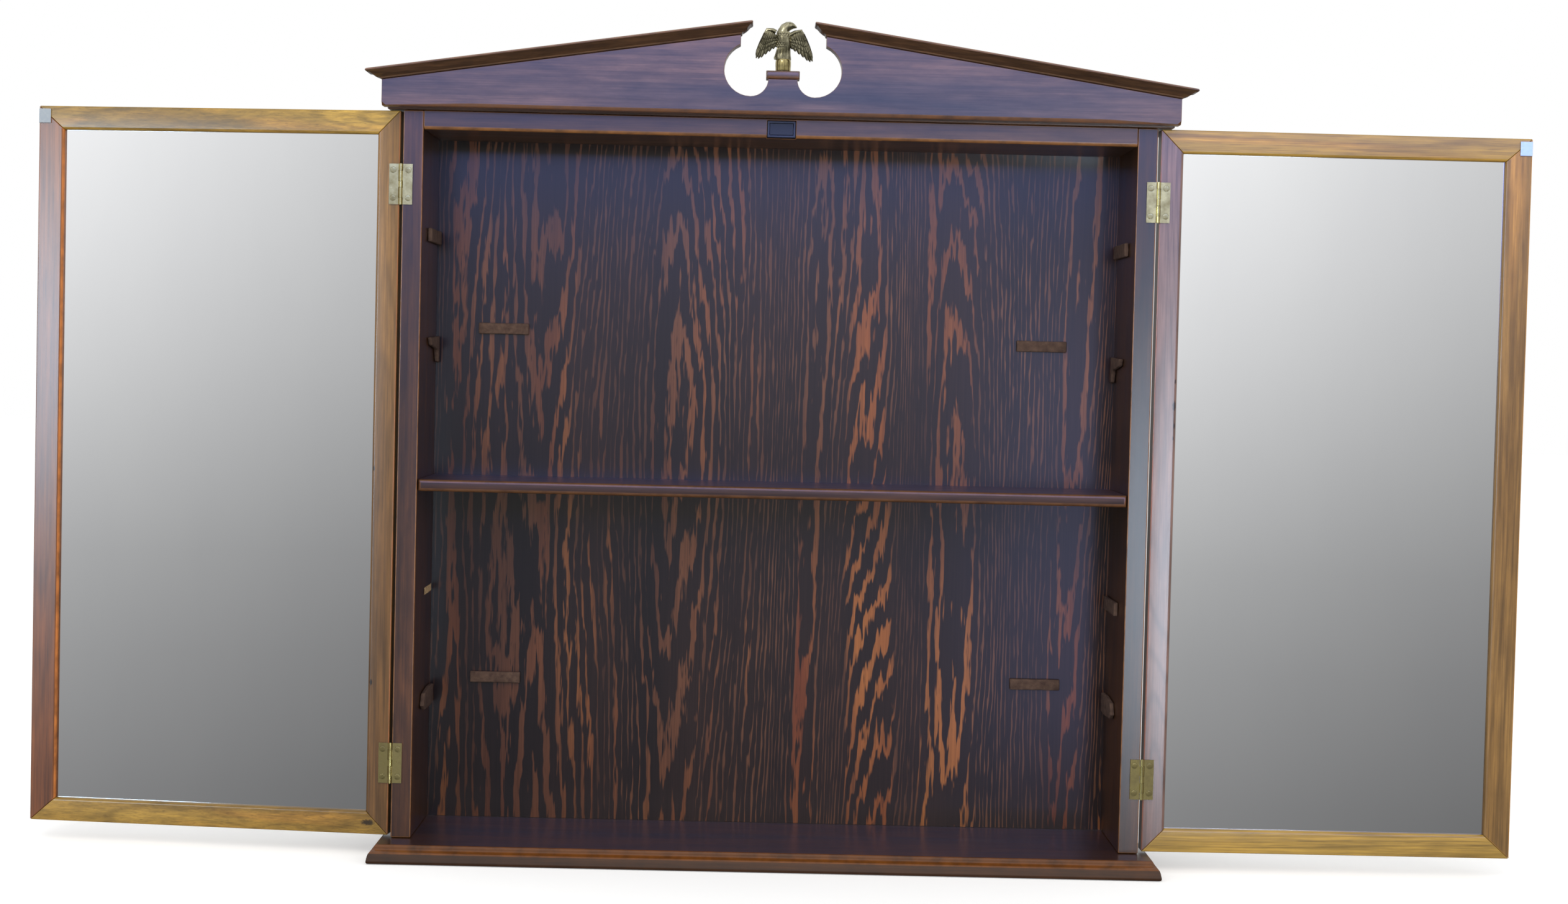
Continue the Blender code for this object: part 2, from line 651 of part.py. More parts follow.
def knuckle_spans(middle):
    """Heights of the five knuckles, lowest first; odd ones belong to the door's leaf."""
    short = (HINGE_HEIGHT - 2 * KNUCKLE_LONG - 4 * TOUCH) / 3
    spans, base = [], middle - HINGE_HEIGHT / 2
    for length in (short, KNUCKLE_LONG, short, KNUCKLE_LONG, short):
        spans.append((base, base + length))
        base += length + TOUCH
    return spans


def leaf_outlines(outward):
    """A leaf and its rolled eye seen from above, and the eye's bore."""
    low, high = LEAF_GAP / 2, LEAF_GAP / 2 + LEAF_THICKNESS
    start = math.degrees(math.asin(high / KNUCKLE_RADIUS))
    stop = 360 + math.degrees(math.asin(low / KNUCKLE_RADIUS))
    eye = arc((0, 0), KNUCKLE_RADIUS, start, stop, 18)
    plate = [(LEAF_WIDTH, low), (LEAF_WIDTH, high)]
    bore = arc((0, 0), PIN_RADIUS + PIN_CLEARANCE, 360, 0, 16)[:-1]
    return [[(outward * x, y) for x, y in plate + eye], [(outward * x, y) for x, y in bore]]


def leaf(name, outward, middle, gaps, pivot):
    """One hinge leaf; gaps are the heights left free for the other leaf's knuckles."""
    made = flat_outline(name, leaf_outlines(outward), HINGE_HEIGHT, BRASS, pivot)
    made.location = (0, 0, middle)
    made = as_mesh(made)
    reach = KNUCKLE_RADIUS + TOUCH
    boxes = [((-reach * 2, -reach * 2, low), (reach, reach * 2, high)) for low, high in gaps]
    mesh = box_mesh(name + "_gaps", boxes)
    for vert in mesh.vertices:
        vert.co.x *= outward
    if outward < 0:
        mesh.flip_normals()
    tool = cutter(name + "_gaps", mesh)
    tool.parent = pivot
    cut(made, tool)


def hinge(side, label, level, middle, axis, door_pivot):
    spans = knuckle_spans(middle)
    door_knuckles, box_knuckles = spans[0::2], spans[1::2]
    low, high = spans[0][0], spans[-1][1]
    clear = TOUCH
    door_gaps = [(a - clear, b + clear) for a, b in box_knuckles]
    box_gaps = [(a - clear, b + clear) for a, b in door_knuckles]
    leaf(f"hinge_{label}_{level}_door_leaf", side, middle, door_gaps, door_pivot)
    leaf(f"hinge_{label}_{level}_box_leaf", -side, middle, box_gaps, axis)
    shape = bmesh.new()
    bmesh.ops.create_cone(shape, cap_ends=True, segments=16, radius1=PIN_RADIUS, radius2=PIN_RADIUS,
                          depth=high - low + 2 * PIN_END)
    mesh = bpy.data.meshes.new("hinge_pin")
    shape.to_mesh(mesh)
    shape.free()
    pin = place(f"hinge_{label}_{level}_pin", mesh, BRASS, axis)
    pin.location = (0, 0, (low + high) / 2)


def empty(name, location, turn):
    pivot = bpy.data.objects.new(name, None)
    PIECES.objects.link(pivot)
    pivot.location = location
    pivot.rotation_euler = (0, 0, turn)
    return pivot


def door(side, label, open_past):
    location = (side * AXIS_X, AXIS_Y, 0)
    axis = empty(f"hinge_axis_{label}", location, 0)
    pivot = empty(f"door_axis_{label}", location, side * open_past)
    door_frame(side, label, pivot)
    door_panels(side, label, pivot)
    strike(side, label, pivot)
    for level, middle in (("upper", DOOR_TOP - HINGE_INSET), ("lower", DOOR_BOTTOM + HINGE_INSET)):
        hinge(side, label, level, middle, axis, pivot)


clear_scene()
PIECES = collection("medicine_cabinet")
CUTTERS = collection("cutters")
side_boards()
top_board()
back_panel()
shelf()
sill()
top_plate()
pediment_board()
crown("crown_left", -1)
crown("crown_right", 1)
plinth_cap()
glue_blocks()
finial_stem()
eagle()
catch()
back_pads()
side_pads()
slumped_pads()
door(-1, "left", OPEN_PAST_LEFT)
door(1, "right", OPEN_PAST_RIGHT)
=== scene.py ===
"""The looks of a wall-hung medicine cabinet: worn stained wood, mirrors, brass and felt.

Metres, in the CAD model's frame: +X to the right, -Y towards the room, +Z up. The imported
model gives the places and sizes; this script makes the finer surfaces and the materials.
"""
import json
import math

import bmesh
import bpy
from mathutils import Matrix, Vector, noise

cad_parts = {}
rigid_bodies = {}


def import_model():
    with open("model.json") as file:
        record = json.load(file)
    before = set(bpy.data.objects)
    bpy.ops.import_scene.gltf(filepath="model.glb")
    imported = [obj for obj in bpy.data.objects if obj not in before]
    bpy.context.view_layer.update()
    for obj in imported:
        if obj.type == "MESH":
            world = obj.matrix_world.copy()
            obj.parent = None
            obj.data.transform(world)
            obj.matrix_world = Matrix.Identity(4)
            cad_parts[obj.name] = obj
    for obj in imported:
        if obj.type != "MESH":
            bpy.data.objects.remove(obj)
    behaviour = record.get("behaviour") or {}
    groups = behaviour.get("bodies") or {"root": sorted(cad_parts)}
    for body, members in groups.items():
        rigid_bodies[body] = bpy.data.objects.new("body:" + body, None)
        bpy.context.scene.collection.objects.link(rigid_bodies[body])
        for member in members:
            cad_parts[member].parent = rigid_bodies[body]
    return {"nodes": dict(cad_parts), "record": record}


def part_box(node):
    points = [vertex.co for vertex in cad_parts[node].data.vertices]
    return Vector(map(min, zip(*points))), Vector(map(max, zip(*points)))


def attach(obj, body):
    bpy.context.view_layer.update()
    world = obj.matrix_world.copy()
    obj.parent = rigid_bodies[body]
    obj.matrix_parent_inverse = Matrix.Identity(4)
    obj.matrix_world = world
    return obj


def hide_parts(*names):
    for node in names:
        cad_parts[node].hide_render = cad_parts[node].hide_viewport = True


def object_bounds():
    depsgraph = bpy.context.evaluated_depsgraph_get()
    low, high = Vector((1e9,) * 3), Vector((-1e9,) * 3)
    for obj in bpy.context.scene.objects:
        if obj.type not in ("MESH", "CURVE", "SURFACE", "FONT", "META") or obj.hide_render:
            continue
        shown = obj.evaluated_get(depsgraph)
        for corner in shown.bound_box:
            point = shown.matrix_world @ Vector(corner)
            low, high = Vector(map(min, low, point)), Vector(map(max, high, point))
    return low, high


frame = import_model()
CAD_BOX = [list(corner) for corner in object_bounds()]

MM = 0.001

# Camera: where the photographer stood, and how the camera was turned, in degrees
CAMERA_PLACE = (-0.0148, -2.5366, 0.1140)
CAMERA_YAW, CAMERA_PITCH, CAMERA_ROLL = -0.58, -1.98, 1.37
CAMERA_LENS = 58.46
SENSOR_WIDTH = 36.0

# Edges eased by hand: radius of the rounding
BOARD_EASE = 0.0010
DOOR_EASE = 0.0005
SMALL_EASE = 0.0006
CATCH_EASE = 0.0005
STRIKE_EASE = 0.0003

# The sill's edge, outward and downward from the ledge: a step, an ogee and a fascia
SILL_PROFILE = ((0.0, 0.0), (0.0012, 0.0005), (0.0020, 0.0020), (0.0024, 0.0044),
                (0.0042, 0.0056), (0.0062, 0.0070), (0.0076, 0.0092), (0.0085, 0.0128),
                (0.0089, 0.0152), (0.0084, 0.0168), (0.0070, 0.0175))
SILL_BEAD = 0.0044            # depth of the bead under the ledge
SILL_FASCIA = 0.0080          # down to here the edge is worn bare

# Hinges: the axis, and the leaves' faces and screws from it
HINGE_AXIS = (0.3572, -0.13025)
LEAF_FACE = 0.00015           # behind the axis
SCREW_REACH = 0.0072
SCREW_SPACING = 0.0262
SCREW_RADIUS = 0.0027
SCREW_SLOT = 0.13             # half the slot's width, over the radius
SCREW_STEPS = 12              # facets along half a head
# A head's dome and the groove around it: reach over the radius, and height
SCREW_DOME = ((1.0, 0.00002), (0.88, 0.00008), (0.45, 0.00012))
SCREW_GROOVE = ((1.0, 0.00001), (1.16, 0.00003))
# How far each screw is turned, in degrees
SCREW_TURNS = (35, 80, -20, 62, 5, 48, -55, 20, 75, -35, 12, 90, -70, 28, 55, -8)
# The doors' turn past straight open at rest
DOOR_REST = {"left": math.radians(-6.6), "right": math.radians(0.6)}

# The stem under the eagle: radius and height, as shares of the CAD piece's
STEM_OUTLINE = ((0.93, 0.0), (0.97, 0.06), (0.98, 0.30), (1.0, 0.55), (0.99, 0.80),
                (0.95, 0.93), (0.88, 1.0))
STEM_SIDES = 48

# The eagle, in millimetres from the top of its stem: sections of x, z, half width, half depth
EAGLE_BODY = ((-0.9, -0.5, 7.6, 5.0), (-0.8, 1.2, 7.9, 5.3), (-0.4, 5.0, 6.9, 5.2),
              (0.2, 10.6, 6.1, 4.7), (0.2, 14.5, 6.9, 5.3), (-0.2, 19.0, 7.2, 5.6),
              (-0.5, 23.0, 6.5, 5.3), (-0.6, 26.0, 5.5, 4.6))
EAGLE_HEAD = ((-0.8, 23.5, 6.2, 5.0), (-0.2, 26.6, 5.4, 4.6), (1.2, 29.4, 4.9, 4.3),
              (3.6, 31.0, 4.4, 4.0), (6.0, 31.5, 3.9, 3.6), (7.8, 31.4, 3.2, 2.6),
              (9.4, 31.0, 2.2, 1.5), (11.0, 30.4, 1.2, 0.8), (11.9, 29.8, 0.4, 0.3))
# Its brows: x, z, how far out, and radius
EAGLE_BROW = ((3.6, 33.2, 3.0, 0.3), (5.4, 33.7, 2.9, 0.7), (7.8, 33.0, 2.2, 0.3))
# Each wing: the lines of the feathers' roots and tips, and the shoulder's sections
WING_LEFT = (((-16.0, 26.4), (-12.0, 25.4), (-7.6, 22.6)),
             ((-25.8, 3.0), (-22.8, 0.2), (-14.6, 6.2), (-7.0, 11.4)),
             ((-7.4, 25.4, 2.2, 2.6), (-10.5, 27.0, 2.1, 2.4), (-15.4, 27.4, 1.9, 2.2),
              (-18.0, 23.0, 1.6, 1.8), (-21.0, 15.5, 1.3, 1.5), (-24.4, 5.5, 1.2, 1.2),
              (-25.4, 0.8, 0.6, 0.8)))
WING_RIGHT = (((17.2, 25.6), (12.6, 25.0), (7.2, 21.4)),
              ((27.2, 1.0), (24.6, -1.7), (16.2, 4.2), (8.2, 9.6)),
              ((5.6, 22.6, 2.2, 2.6), (10.5, 25.4, 2.1, 2.4), (16.0, 26.8, 1.9, 2.2),
               (18.4, 21.6, 1.6, 1.8), (21.6, 13.5, 1.3, 1.5), (26.0, 3.6, 1.2, 1.2),
               (27.2, -1.0, 0.6, 0.8)))
LONG_FEATHERS = 8
# Rows of short feathers on a wing: start and end on the way from root to tip, and number
WING_ROWS = ((0.42, 0.72, 8), (0.22, 0.52, 8), (0.02, 0.34, 7))
# A feather: share of its length, width and lift there; and its section across, with the quill
FEATHER_SHAPE = ((0.0, 0.55, 0.6), (0.25, 0.9, 0.9), (0.55, 1.0, 1.0), (0.82, 0.82, 0.85),
                 (0.95, 0.45, 0.55), (1.0, 0.08, 0.2))
FEATHER_SECTION = ((-1, -0.4), (-0.62, 0.55), (-0.12, 0.62), (0, 1.0), (0.12, 0.62), (0.62, 0.55),
                   (1, -0.4))

# Felt: rounding, longest edge, lumps in a metre and their height
PAD_EASE = 0.0009
PAD_GRID = 0.0035
PAD_LUMPS = 260
PAD_UNEVEN = 0.00025
# The bare mark: from and to, behind the side's front edge; its steps; its section across
MARK_FROM_FRONT = (0.066, 0.117)
MARK_STEPS = 25
MARK_SECTION = ((-0.5, 0.00002), (-0.38, 0.0004), (0.38, 0.0004), (0.5, 0.00002))

# The floor: half its width, its depth under the cabinet, and its own light, so that it stays
# as white as the backdrop
FLOOR_SIZE = 14.0
FLOOR_DROP = 0.0004
FLOOR_GLOW = 0.22

# The room in reflections: its brightness from low to high, and how that swings around it
ROOM_HEIGHTS = (-0.25, 0.25)
ROOM_LEVELS = ((0.0, 0.135), (0.17, 0.23), (0.27, 0.31), (0.348, 0.39), (0.425, 0.505),
               (0.513, 0.645), (0.59, 0.76), (0.672, 0.87), (0.9, 0.95))
ROOM_PERIOD = math.radians(39.1)
ROOM_START = math.radians(26.0)
ROOM_SWING = 0.36

AXES = (Vector((1, 0, 0)), Vector((0, 1, 0)), Vector((0, 0, 1)))


# Node helpers ------------------------------------------------------------------------


class Graph:
    """Short ways to add nodes to a node tree."""

    def __init__(self, tree):
        self.tree = tree

    def add(self, kind, **settings):
        node = self.tree.nodes.new(kind)
        for key, value in settings.items():
            setattr(node, key, value)
        return node

    def put(self, value, socket):
        if isinstance(value, bpy.types.NodeSocket):
            self.tree.links.new(value, socket)
        else:
            socket.default_value = value

    def math(self, operation, a, b=0.0, c=0.0):
        node = self.add("ShaderNodeMath", operation=operation)
        for socket, value in zip(node.inputs, (a, b, c)):
            self.put(value, socket)
        return node.outputs[0]

    def vector(self, operation, a, b):
        node = self.add("ShaderNodeVectorMath", operation=operation)
        self.put(a, node.inputs[0])
        self.put(b, node.inputs[1])
        return node.outputs[0]

    def noise(self, vector, scale, detail=2.0, rough=0.5, warp=0.0):
        node = self.add("ShaderNodeTexNoise")
        self.put(vector, node.inputs["Vector"])
        for title, value in (("Scale", scale), ("Detail", detail), ("Roughness", rough),
                             ("Distortion", warp)):
            self.put(value, node.inputs[title])
        return node.outputs["Fac"]

    def spread(self, value, low, high, new_low=0.0, new_high=1.0, smooth=False):
        """Map low..high to new_low..new_high and clamp."""
        node = self.add("ShaderNodeMapRange",
                        interpolation_type="SMOOTHSTEP" if smooth else "LINEAR")
        for socket, given in zip(node.inputs, (value, low, high, new_low, new_high)):
            self.put(given, socket)
        return node.outputs[0]

    def mix(self, share, a, b, blend="MIX"):
        node = self.add("ShaderNodeMix", data_type="RGBA", blend_type=blend)
        self.put(share, node.inputs["Factor"])
        for value, socket in ((a, node.inputs[6]), (b, node.inputs[7])):
            opaque = isinstance(value, tuple) and len(value) == 3
            self.put((*value, 1.0) if opaque else value, socket)
        return node.outputs[2]

    def parts(self, vector):
        """The outputs X, Y and Z of a vector."""
        node = self.add("ShaderNodeSeparateXYZ")
        self.put(vector, node.inputs[0])
        return node.outputs


class Look(Graph):
    """A new material, whose nodes lead to one Principled shader."""

    def __init__(self, name):
        self.material = bpy.data.materials.new(name)
        self.material.use_nodes = True
        super().__init__(self.material.node_tree)
        self.shader = self.tree.nodes["Principled BSDF"]
        self.place = self.add("ShaderNodeTexCoord").outputs["Object"]

    def set(self, **values):
        """Set the shader's sockets: base_color=... for Base Color, and so on."""
        for key, value in values.items():
            words = [word.upper() if word == "ior" else word.capitalize()
                     for word in key.split("_")]
            self.put(value, self.shader.inputs[" ".join(words)])

    def bump(self, height, strength, distance):
        node = self.add("ShaderNodeBump")
        self.put(strength, node.inputs["Strength"])
        self.put(distance, node.inputs["Distance"])
        self.put(height, node.inputs["Height"])
        self.put(node.outputs[0], self.shader.inputs["Normal"])

    def attribute(self, name):
        return self.add("ShaderNodeAttribute", attribute_name=name).outputs["Fac"]


def colour(red, green, blue):
    """A display colour, 0 to 255, as the linear values that shaders use."""
    def linear(level):
        share = level / 255
        return share / 12.92 if share <= 0.04045 else ((share + 0.055) / 1.055) ** 2.4
    return tuple(linear(level) for level in (red, green, blue))


# Materials ---------------------------------------------------------------------------


def stretch_along(look, grain, offset, amount):
    """Coordinates squeezed along the grain, so that noise comes out as long streaks."""
    scale = [1.0, 1.0, 1.0]
    scale["XYZ".index(grain)] = amount
    moved = look.vector("ADD", look.place, (offset, offset * 1.7, offset * 0.6))
    return look.vector("MULTIPLY", moved, tuple(scale))


def squeezed(spot, grain):
    """A place in coordinates that are squeezed along the grain, so that knots come out long."""
    return [value * (0.4 if axis == grain else 1.0) for axis, value in zip("XYZ", spot)]


def long_knot(look, grain):
    return look.vector("MULTIPLY", look.place, tuple(squeezed((1.0, 1.0, 1.0), grain)))


def wood(name, grain, deep, main, glow, rings=9.0, ring_dark=0.35, offset=0.0, roughness=0.36,
         streak=0.0, coat=0.5, cloud=0.15, knots=()):
    """Stained and varnished solid wood: stain patches, growth rings, fibres, worn edges."""
    look = Look(name)
    long_grain = stretch_along(look, grain, offset, 0.07)
    fine_grain = stretch_along(look, grain, offset, 0.012)
    stain = look.noise(long_grain, 16.0, 3.0, 0.6)
    field = look.noise(long_grain, 22.0, 1.5, 0.4, 0.25)
    ring = look.math("SINE", look.math("MULTIPLY", field, rings * math.tau))
    ring = look.spread(ring, -0.2, 1.0)
    ring = look.math("POWER", ring, 2.2)
    fibre = look.noise(fine_grain, 700.0, 3.0, 0.7)
    pore = look.spread(look.noise(fine_grain, 1500.0, 1.0), 0.62, 0.70)
    tone = look.mix(look.spread(stain, 1 / 3, 2 / 3), deep, main)
    tone = look.mix(look.math("MULTIPLY", ring, ring_dark), tone, tuple(c * 0.35 for c in deep))
    if streak:
        pale = look.spread(look.noise(long_grain, 38.0, 2.0, 0.5, 0.4), 0.56, 0.64)
        tone = look.mix(look.math("MULTIPLY", pale, streak), tone, glow)
    half_long = stretch_along(look, grain, offset, 0.22)
    mottle = look.noise(half_long, 75.0, 5.0, 0.68)
    strand = look.noise(stretch_along(look, grain, offset, 0.045), 300.0, 2.0, 0.6)
    shade = look.math("MULTIPLY", look.spread(fibre, 0.3, 0.7, 0.76, 1.22),
                      look.spread(mottle, 0.34, 0.66, 1 - cloud, 1 + cloud))
    shade = look.math("MULTIPLY", shade, look.spread(strand, 0.34, 0.66, 0.80, 1.18))
    tone = look.mix(1.0, tone, shade, "MULTIPLY")
    tone = look.mix(look.math("MULTIPLY", pore, 0.35), tone, tuple(c * 0.25 for c in deep))
    wear = look.spread(look.noise(look.place, 60.0, 3.0, 0.6), 0.32, 0.60, 0.35, 1.0)
    wear = look.math("MULTIPLY", look.attribute("worn"), wear)
    tone = look.mix(wear, tone, glow)
    for spot, size in knots:
        ragged = look.math("MULTIPLY", look.noise(look.place, 500.0, 2.0), size)
        away = look.add("ShaderNodeVectorMath", operation="DISTANCE")
        look.put(long_knot(look, grain), away.inputs[0])
        away.inputs[1].default_value = squeezed(spot, grain)
        reach = look.math("ADD", away.outputs["Value"], look.math("SUBTRACT", ragged, size * 0.5))
        tone = look.mix(look.spread(reach, size * 0.55, size, 0.85, 0.0), tone, colour(14, 9, 8))
    height = look.math("ADD", look.math("MULTIPLY", fibre, 0.5), look.math("MULTIPLY", ring, 0.35))
    look.bump(height, 0.18, 0.0004)
    look.set(base_color=tone, specular_ior_level=0.3, coat_weight=coat, coat_roughness=0.24,
             roughness=look.spread(stain, 0.3, 0.7, roughness - 0.05, roughness + 0.08))
    return look.material


def veneer_field(look, place):
    """The slow field of a rotary-cut veneer: its contour lines are the growth rings."""
    slow = look.vector("MULTIPLY", place, (1.0, 1.0, 0.11))
    long = look.vector("MULTIPLY", place, (1.0, 1.0, 0.075))
    field = look.noise(long, 7.5, 1.0, 0.4, 0.2)
    return look.math("MULTIPLY_ADD", look.noise(slow, 40.0, 1.0, 0.5), 0.040, field)


def flame_plywood():
    """Rotary-cut fir plywood. Its rings run thin, dim and parallel where the veneer's field
    is steep, and open into broad torn flames where it is flat."""
    look = Look("back_panel_look")
    shifted = look.vector("ADD", look.place, PLY_SHIFT)
    slow = look.vector("MULTIPLY", shifted, (1.0, 1.0, 0.11))
    torn = look.vector("MULTIPLY", look.place, (1.0, 1.0, 0.10))
    fine = look.vector("MULTIPLY", look.place, (1.0, 1.0, 0.012))
    smooth = veneer_field(look, shifted)
    beside = veneer_field(look, look.vector("ADD", shifted, (PLY_STEP, 0.0, 0.0)))
    steep = look.math("ABSOLUTE", look.math("SUBTRACT", beside, smooth))
    flat = look.spread(look.math("MULTIPLY", steep, PLY_RINGS), 0.13, 0.38, 1.0, 0.0, smooth=True)
    field = look.math("MULTIPLY_ADD", look.noise(torn, 170.0, 2.0, 0.6), 0.026, smooth)
    phase = look.math("FRACT", look.math("MULTIPLY", field, PLY_RINGS))
    crest = look.math("PINGPONG", phase, 0.5)
    dash = look.noise(torn, 240.0, 2.0, 0.6)
    width = look.math("ADD", look.spread(flat, 0.0, 1.0, 0.36, 0.29),
                      look.spread(dash, 0.3, 0.7, -0.15, 0.15))
    line = look.spread(crest, width, look.math("ADD", width, 0.09))
    region = look.spread(look.noise(slow, 9.0, 2.0), 0.36, 0.62, 0.10, 1.0)
    spot = look.parts(look.place)
    # Painted sheen: the flames are painted fainter towards the top, where the window's sheen washes
    # over the panel.
    painted_sheen_fade = look.spread(spot["Z"], 0.10, 0.32, 1.0, 0.62)
    burn = look.math("MULTIPLY", look.math("MULTIPLY", flat, region), painted_sheen_fade)
    fibre = look.noise(fine, 900.0, 2.0, 0.7)
    ground = look.mix(look.spread(look.noise(slow, 11.0, 2.0), 0.3, 0.7), colour(24, 15, 12),
                      colour(42, 26, 19))
    thin = look.mix(look.spread(look.noise(slow, 12.0, 2.0), 0.36, 0.64), colour(62, 38, 27),
                    colour(100, 64, 42))
    flame = look.mix(look.spread(look.noise(slow, 14.0, 2.0), 0.38, 0.62), colour(104, 50, 24),
                     colour(146, 88, 42))
    tone = look.mix(line, ground, look.mix(burn, thin, flame))
    # Painted shade: the panel's colour is darkened towards its left side, where less light and
    # sheen fall.
    painted_shade_left = look.spread(spot["X"], -0.33, 0.0, 0.62, 1.0)
    tone = look.mix(1.0, tone, painted_shade_left, "MULTIPLY")
    tone = look.mix(1.0, tone, look.spread(fibre, 0.3, 0.7, 0.74, 1.22), "MULTIPLY")
    height = look.math("MULTIPLY_ADD", fibre, 0.4, look.math("MULTIPLY", line, -0.4))
    look.bump(height, 0.12, 0.0003)
    look.set(base_color=tone, roughness=look.spread(fibre, 0.3, 0.7, 0.40, 0.48),
             specular_ior_level=0.12, coat_weight=0.8, coat_roughness=0.19)
    return look.material


def silvered_glass():
    """A mirror with the faintest haze and wiping marks."""
    look = Look("mirror_look")
    wiped = look.vector("MULTIPLY", look.place, (1.0, 1.0, 0.35))
    haze = look.noise(wiped, 14.0, 4.0, 0.6)
    tone = look.mix(haze, colour(240, 241, 243), colour(246, 247, 248))
    look.set(base_color=tone, metallic=1.0, roughness=look.spread(haze, 0.35, 0.7, 0.010, 0.028))
    return look.material


def metal(name, bright, dull, roughness, grime_and_shade):
    """Old metal: bright and tarnished areas, handling marks, and hollows darkened, partly with
    grime and partly as painted shade in creases such as the hinges' knuckles.
    """
    look = Look(name)
    cloud = look.noise(look.place, 90.0, 4.0, 0.65)
    speck = look.noise(look.place, 300.0, 3.0, 0.7)
    edge = look.spread(look.add("ShaderNodeNewGeometry").outputs["Pointiness"], 0.46, 0.53)
    tone = look.mix(look.spread(cloud, 0.38, 0.66), bright, dull)
    # Hollows darkened: grime, and painted shade where creases fall in shadow.
    tone = look.mix(look.math("MULTIPLY", look.math("SUBTRACT", 1.0, edge), grime_and_shade), tone,
                    tuple(c * 0.30 for c in dull))
    look.bump(speck, 0.10, 0.0002)
    look.set(base_color=tone, metallic=1.0,
             roughness=look.spread(cloud, 0.3, 0.7, roughness - 0.06, roughness + 0.12))
    return look.material


def zinc():
    """Galvanised plate with its soft crystal pattern."""
    look = Look("zinc_look")
    cells = look.add("ShaderNodeTexVoronoi", feature="F1")
    look.put(look.place, cells.inputs["Vector"])
    look.put(420.0, cells.inputs["Scale"])
    tint = look.spread(cells.outputs["Color"], 0.0, 1.0)
    tone = look.mix(tint, colour(204, 216, 228), colour(222, 232, 240))
    look.bump(look.noise(look.place, 500.0, 2.0), 0.08, 0.0002)
    look.set(base_color=tone, metallic=1.0, roughness=look.spread(tint, 0.0, 1.0, 0.36, 0.46))
    return look.material


def moulded_plastic():
    look = Look("catch_look")
    grain = look.noise(look.place, 900.0, 2.0)
    tone = look.mix(look.noise(look.place, 60.0, 2.0), colour(12, 16, 30), colour(22, 28, 50))
    look.bump(grain, 0.2, 0.0002)
    look.set(base_color=tone, roughness=look.spread(grain, 0.3, 0.7, 0.36, 0.50))
    return look.material


def magnet_ferrite():
    look = Look("magnet_look")
    grain = look.noise(look.place, 1200.0, 3.0)
    tone = look.mix(grain, colour(30, 31, 34), colour(52, 53, 58))
    look.bump(grain, 0.2, 0.0001)
    look.set(base_color=tone, metallic=0.6, roughness=look.spread(grain, 0.3, 0.7, 0.35, 0.55))
    return look.material


def felt():
    """Brown felt: matted fibres over a mottled ground."""
    look = Look("felt_look")
    matted = look.noise(look.place, 1600.0, 4.0, 0.75, 1.5)
    mottle = look.noise(look.place, 160.0, 3.0, 0.6)
    tone = look.mix(look.spread(mottle, 0.3, 0.7), colour(70, 54, 46), colour(98, 78, 66))
    tone = look.mix(1.0, tone, look.spread(matted, 0.3, 0.7, 0.72, 1.25), "MULTIPLY")
    look.bump(matted, 0.7, 0.0006)
    look.set(base_color=tone, roughness=0.95, specular_ior_level=0.15)
    return look.material


def bare_patch():
    """Torn adhesive and bare wood where a pad came away."""
    look = Look("bare_patch_look")
    torn = look.noise(look.place, 260.0, 4.0, 0.7, 1.0)
    tone = look.mix(look.spread(torn, 0.40, 0.60), colour(196, 170, 124), colour(150, 112, 74))
    look.bump(torn, 0.5, 0.0004)
    look.set(base_color=tone, roughness=0.85)
    return look.material


def plain_board():
    look = Look("board_look")
    long_grain = stretch_along(look, "X", 0.4, 0.08)
    chips = look.noise(long_grain, 120.0, 4.0, 0.7)
    tone = look.mix(look.spread(chips, 0.35, 0.65), colour(150, 118, 80), colour(196, 164, 120))
    look.bump(chips, 0.3, 0.0004)
    look.set(base_color=tone, roughness=0.75)
    return look.material


# Pits and knots in the doors' frames: place and radius
VIOLET_KNOTS = (((0.3787, -0.1287, 0.106), 0.0012), ((0.3782, -0.1287, 0.083), 0.0022),
                ((0.3787, -0.1287, 0.064), 0.0013), ((0.3777, -0.1287, 0.052), 0.0009))
RAIL_KNOTS = (((-0.377, -0.126, -0.331), 0.0034), ((-0.640, -0.098, -0.333), 0.0012),
              ((-0.622, -0.100, -0.330), 0.0010))
BROWN_KNOTS = (((-0.3780, -0.1262, 0.006), 0.0012), ((-0.3770, -0.1262, -0.197), 0.0015))

# Which piece of the endless veneer pattern the back panel shows
PLY_SHIFT = (0.83, 0.0, 1.9)
# Growth rings per unit of the veneer's field, and how far apart it is compared for steepness
PLY_RINGS = 54.0
PLY_STEP = 0.002

ORANGE = colour(124, 82, 42)
BOX_UPRIGHT = wood("box_upright_look", "Z", colour(34, 17, 3), colour(80, 46, 14), ORANGE,
                   rings=7.0, ring_dark=0.30, offset=0.13, cloud=0.28)
BOX_LEVEL = wood("box_level_look", "X", colour(58, 37, 26), colour(90, 62, 42), ORANGE,
                 rings=7.0, ring_dark=0.22, offset=0.71, cloud=0.28)
PEDIMENT = wood("pediment_look", "X", colour(44, 37, 36), colour(104, 76, 66),
                colour(100, 66, 42), rings=6.0, ring_dark=0.18, offset=1.37, cloud=0.32)
MOULDING = wood("moulding_look", "X", colour(46, 31, 18), colour(76, 52, 32),
                colour(124, 88, 56), rings=8.0, ring_dark=0.25, offset=2.11)
SILL = wood("sill_look", "X", colour(36, 18, 4), colour(62, 34, 10), colour(104, 58, 14),
            rings=7.0, ring_dark=0.3, offset=6.4)
SHELF = wood("shelf_look", "X", colour(34, 18, 11), colour(60, 36, 20), colour(88, 56, 30),
             rings=7.0, ring_dark=0.25, offset=2.9)
RAIL = wood("rail_look", "X", colour(112, 82, 26), colour(170, 136, 54), colour(184, 132, 50),
            rings=12.0, ring_dark=0.34, offset=0.29, streak=0.35, knots=RAIL_KNOTS)
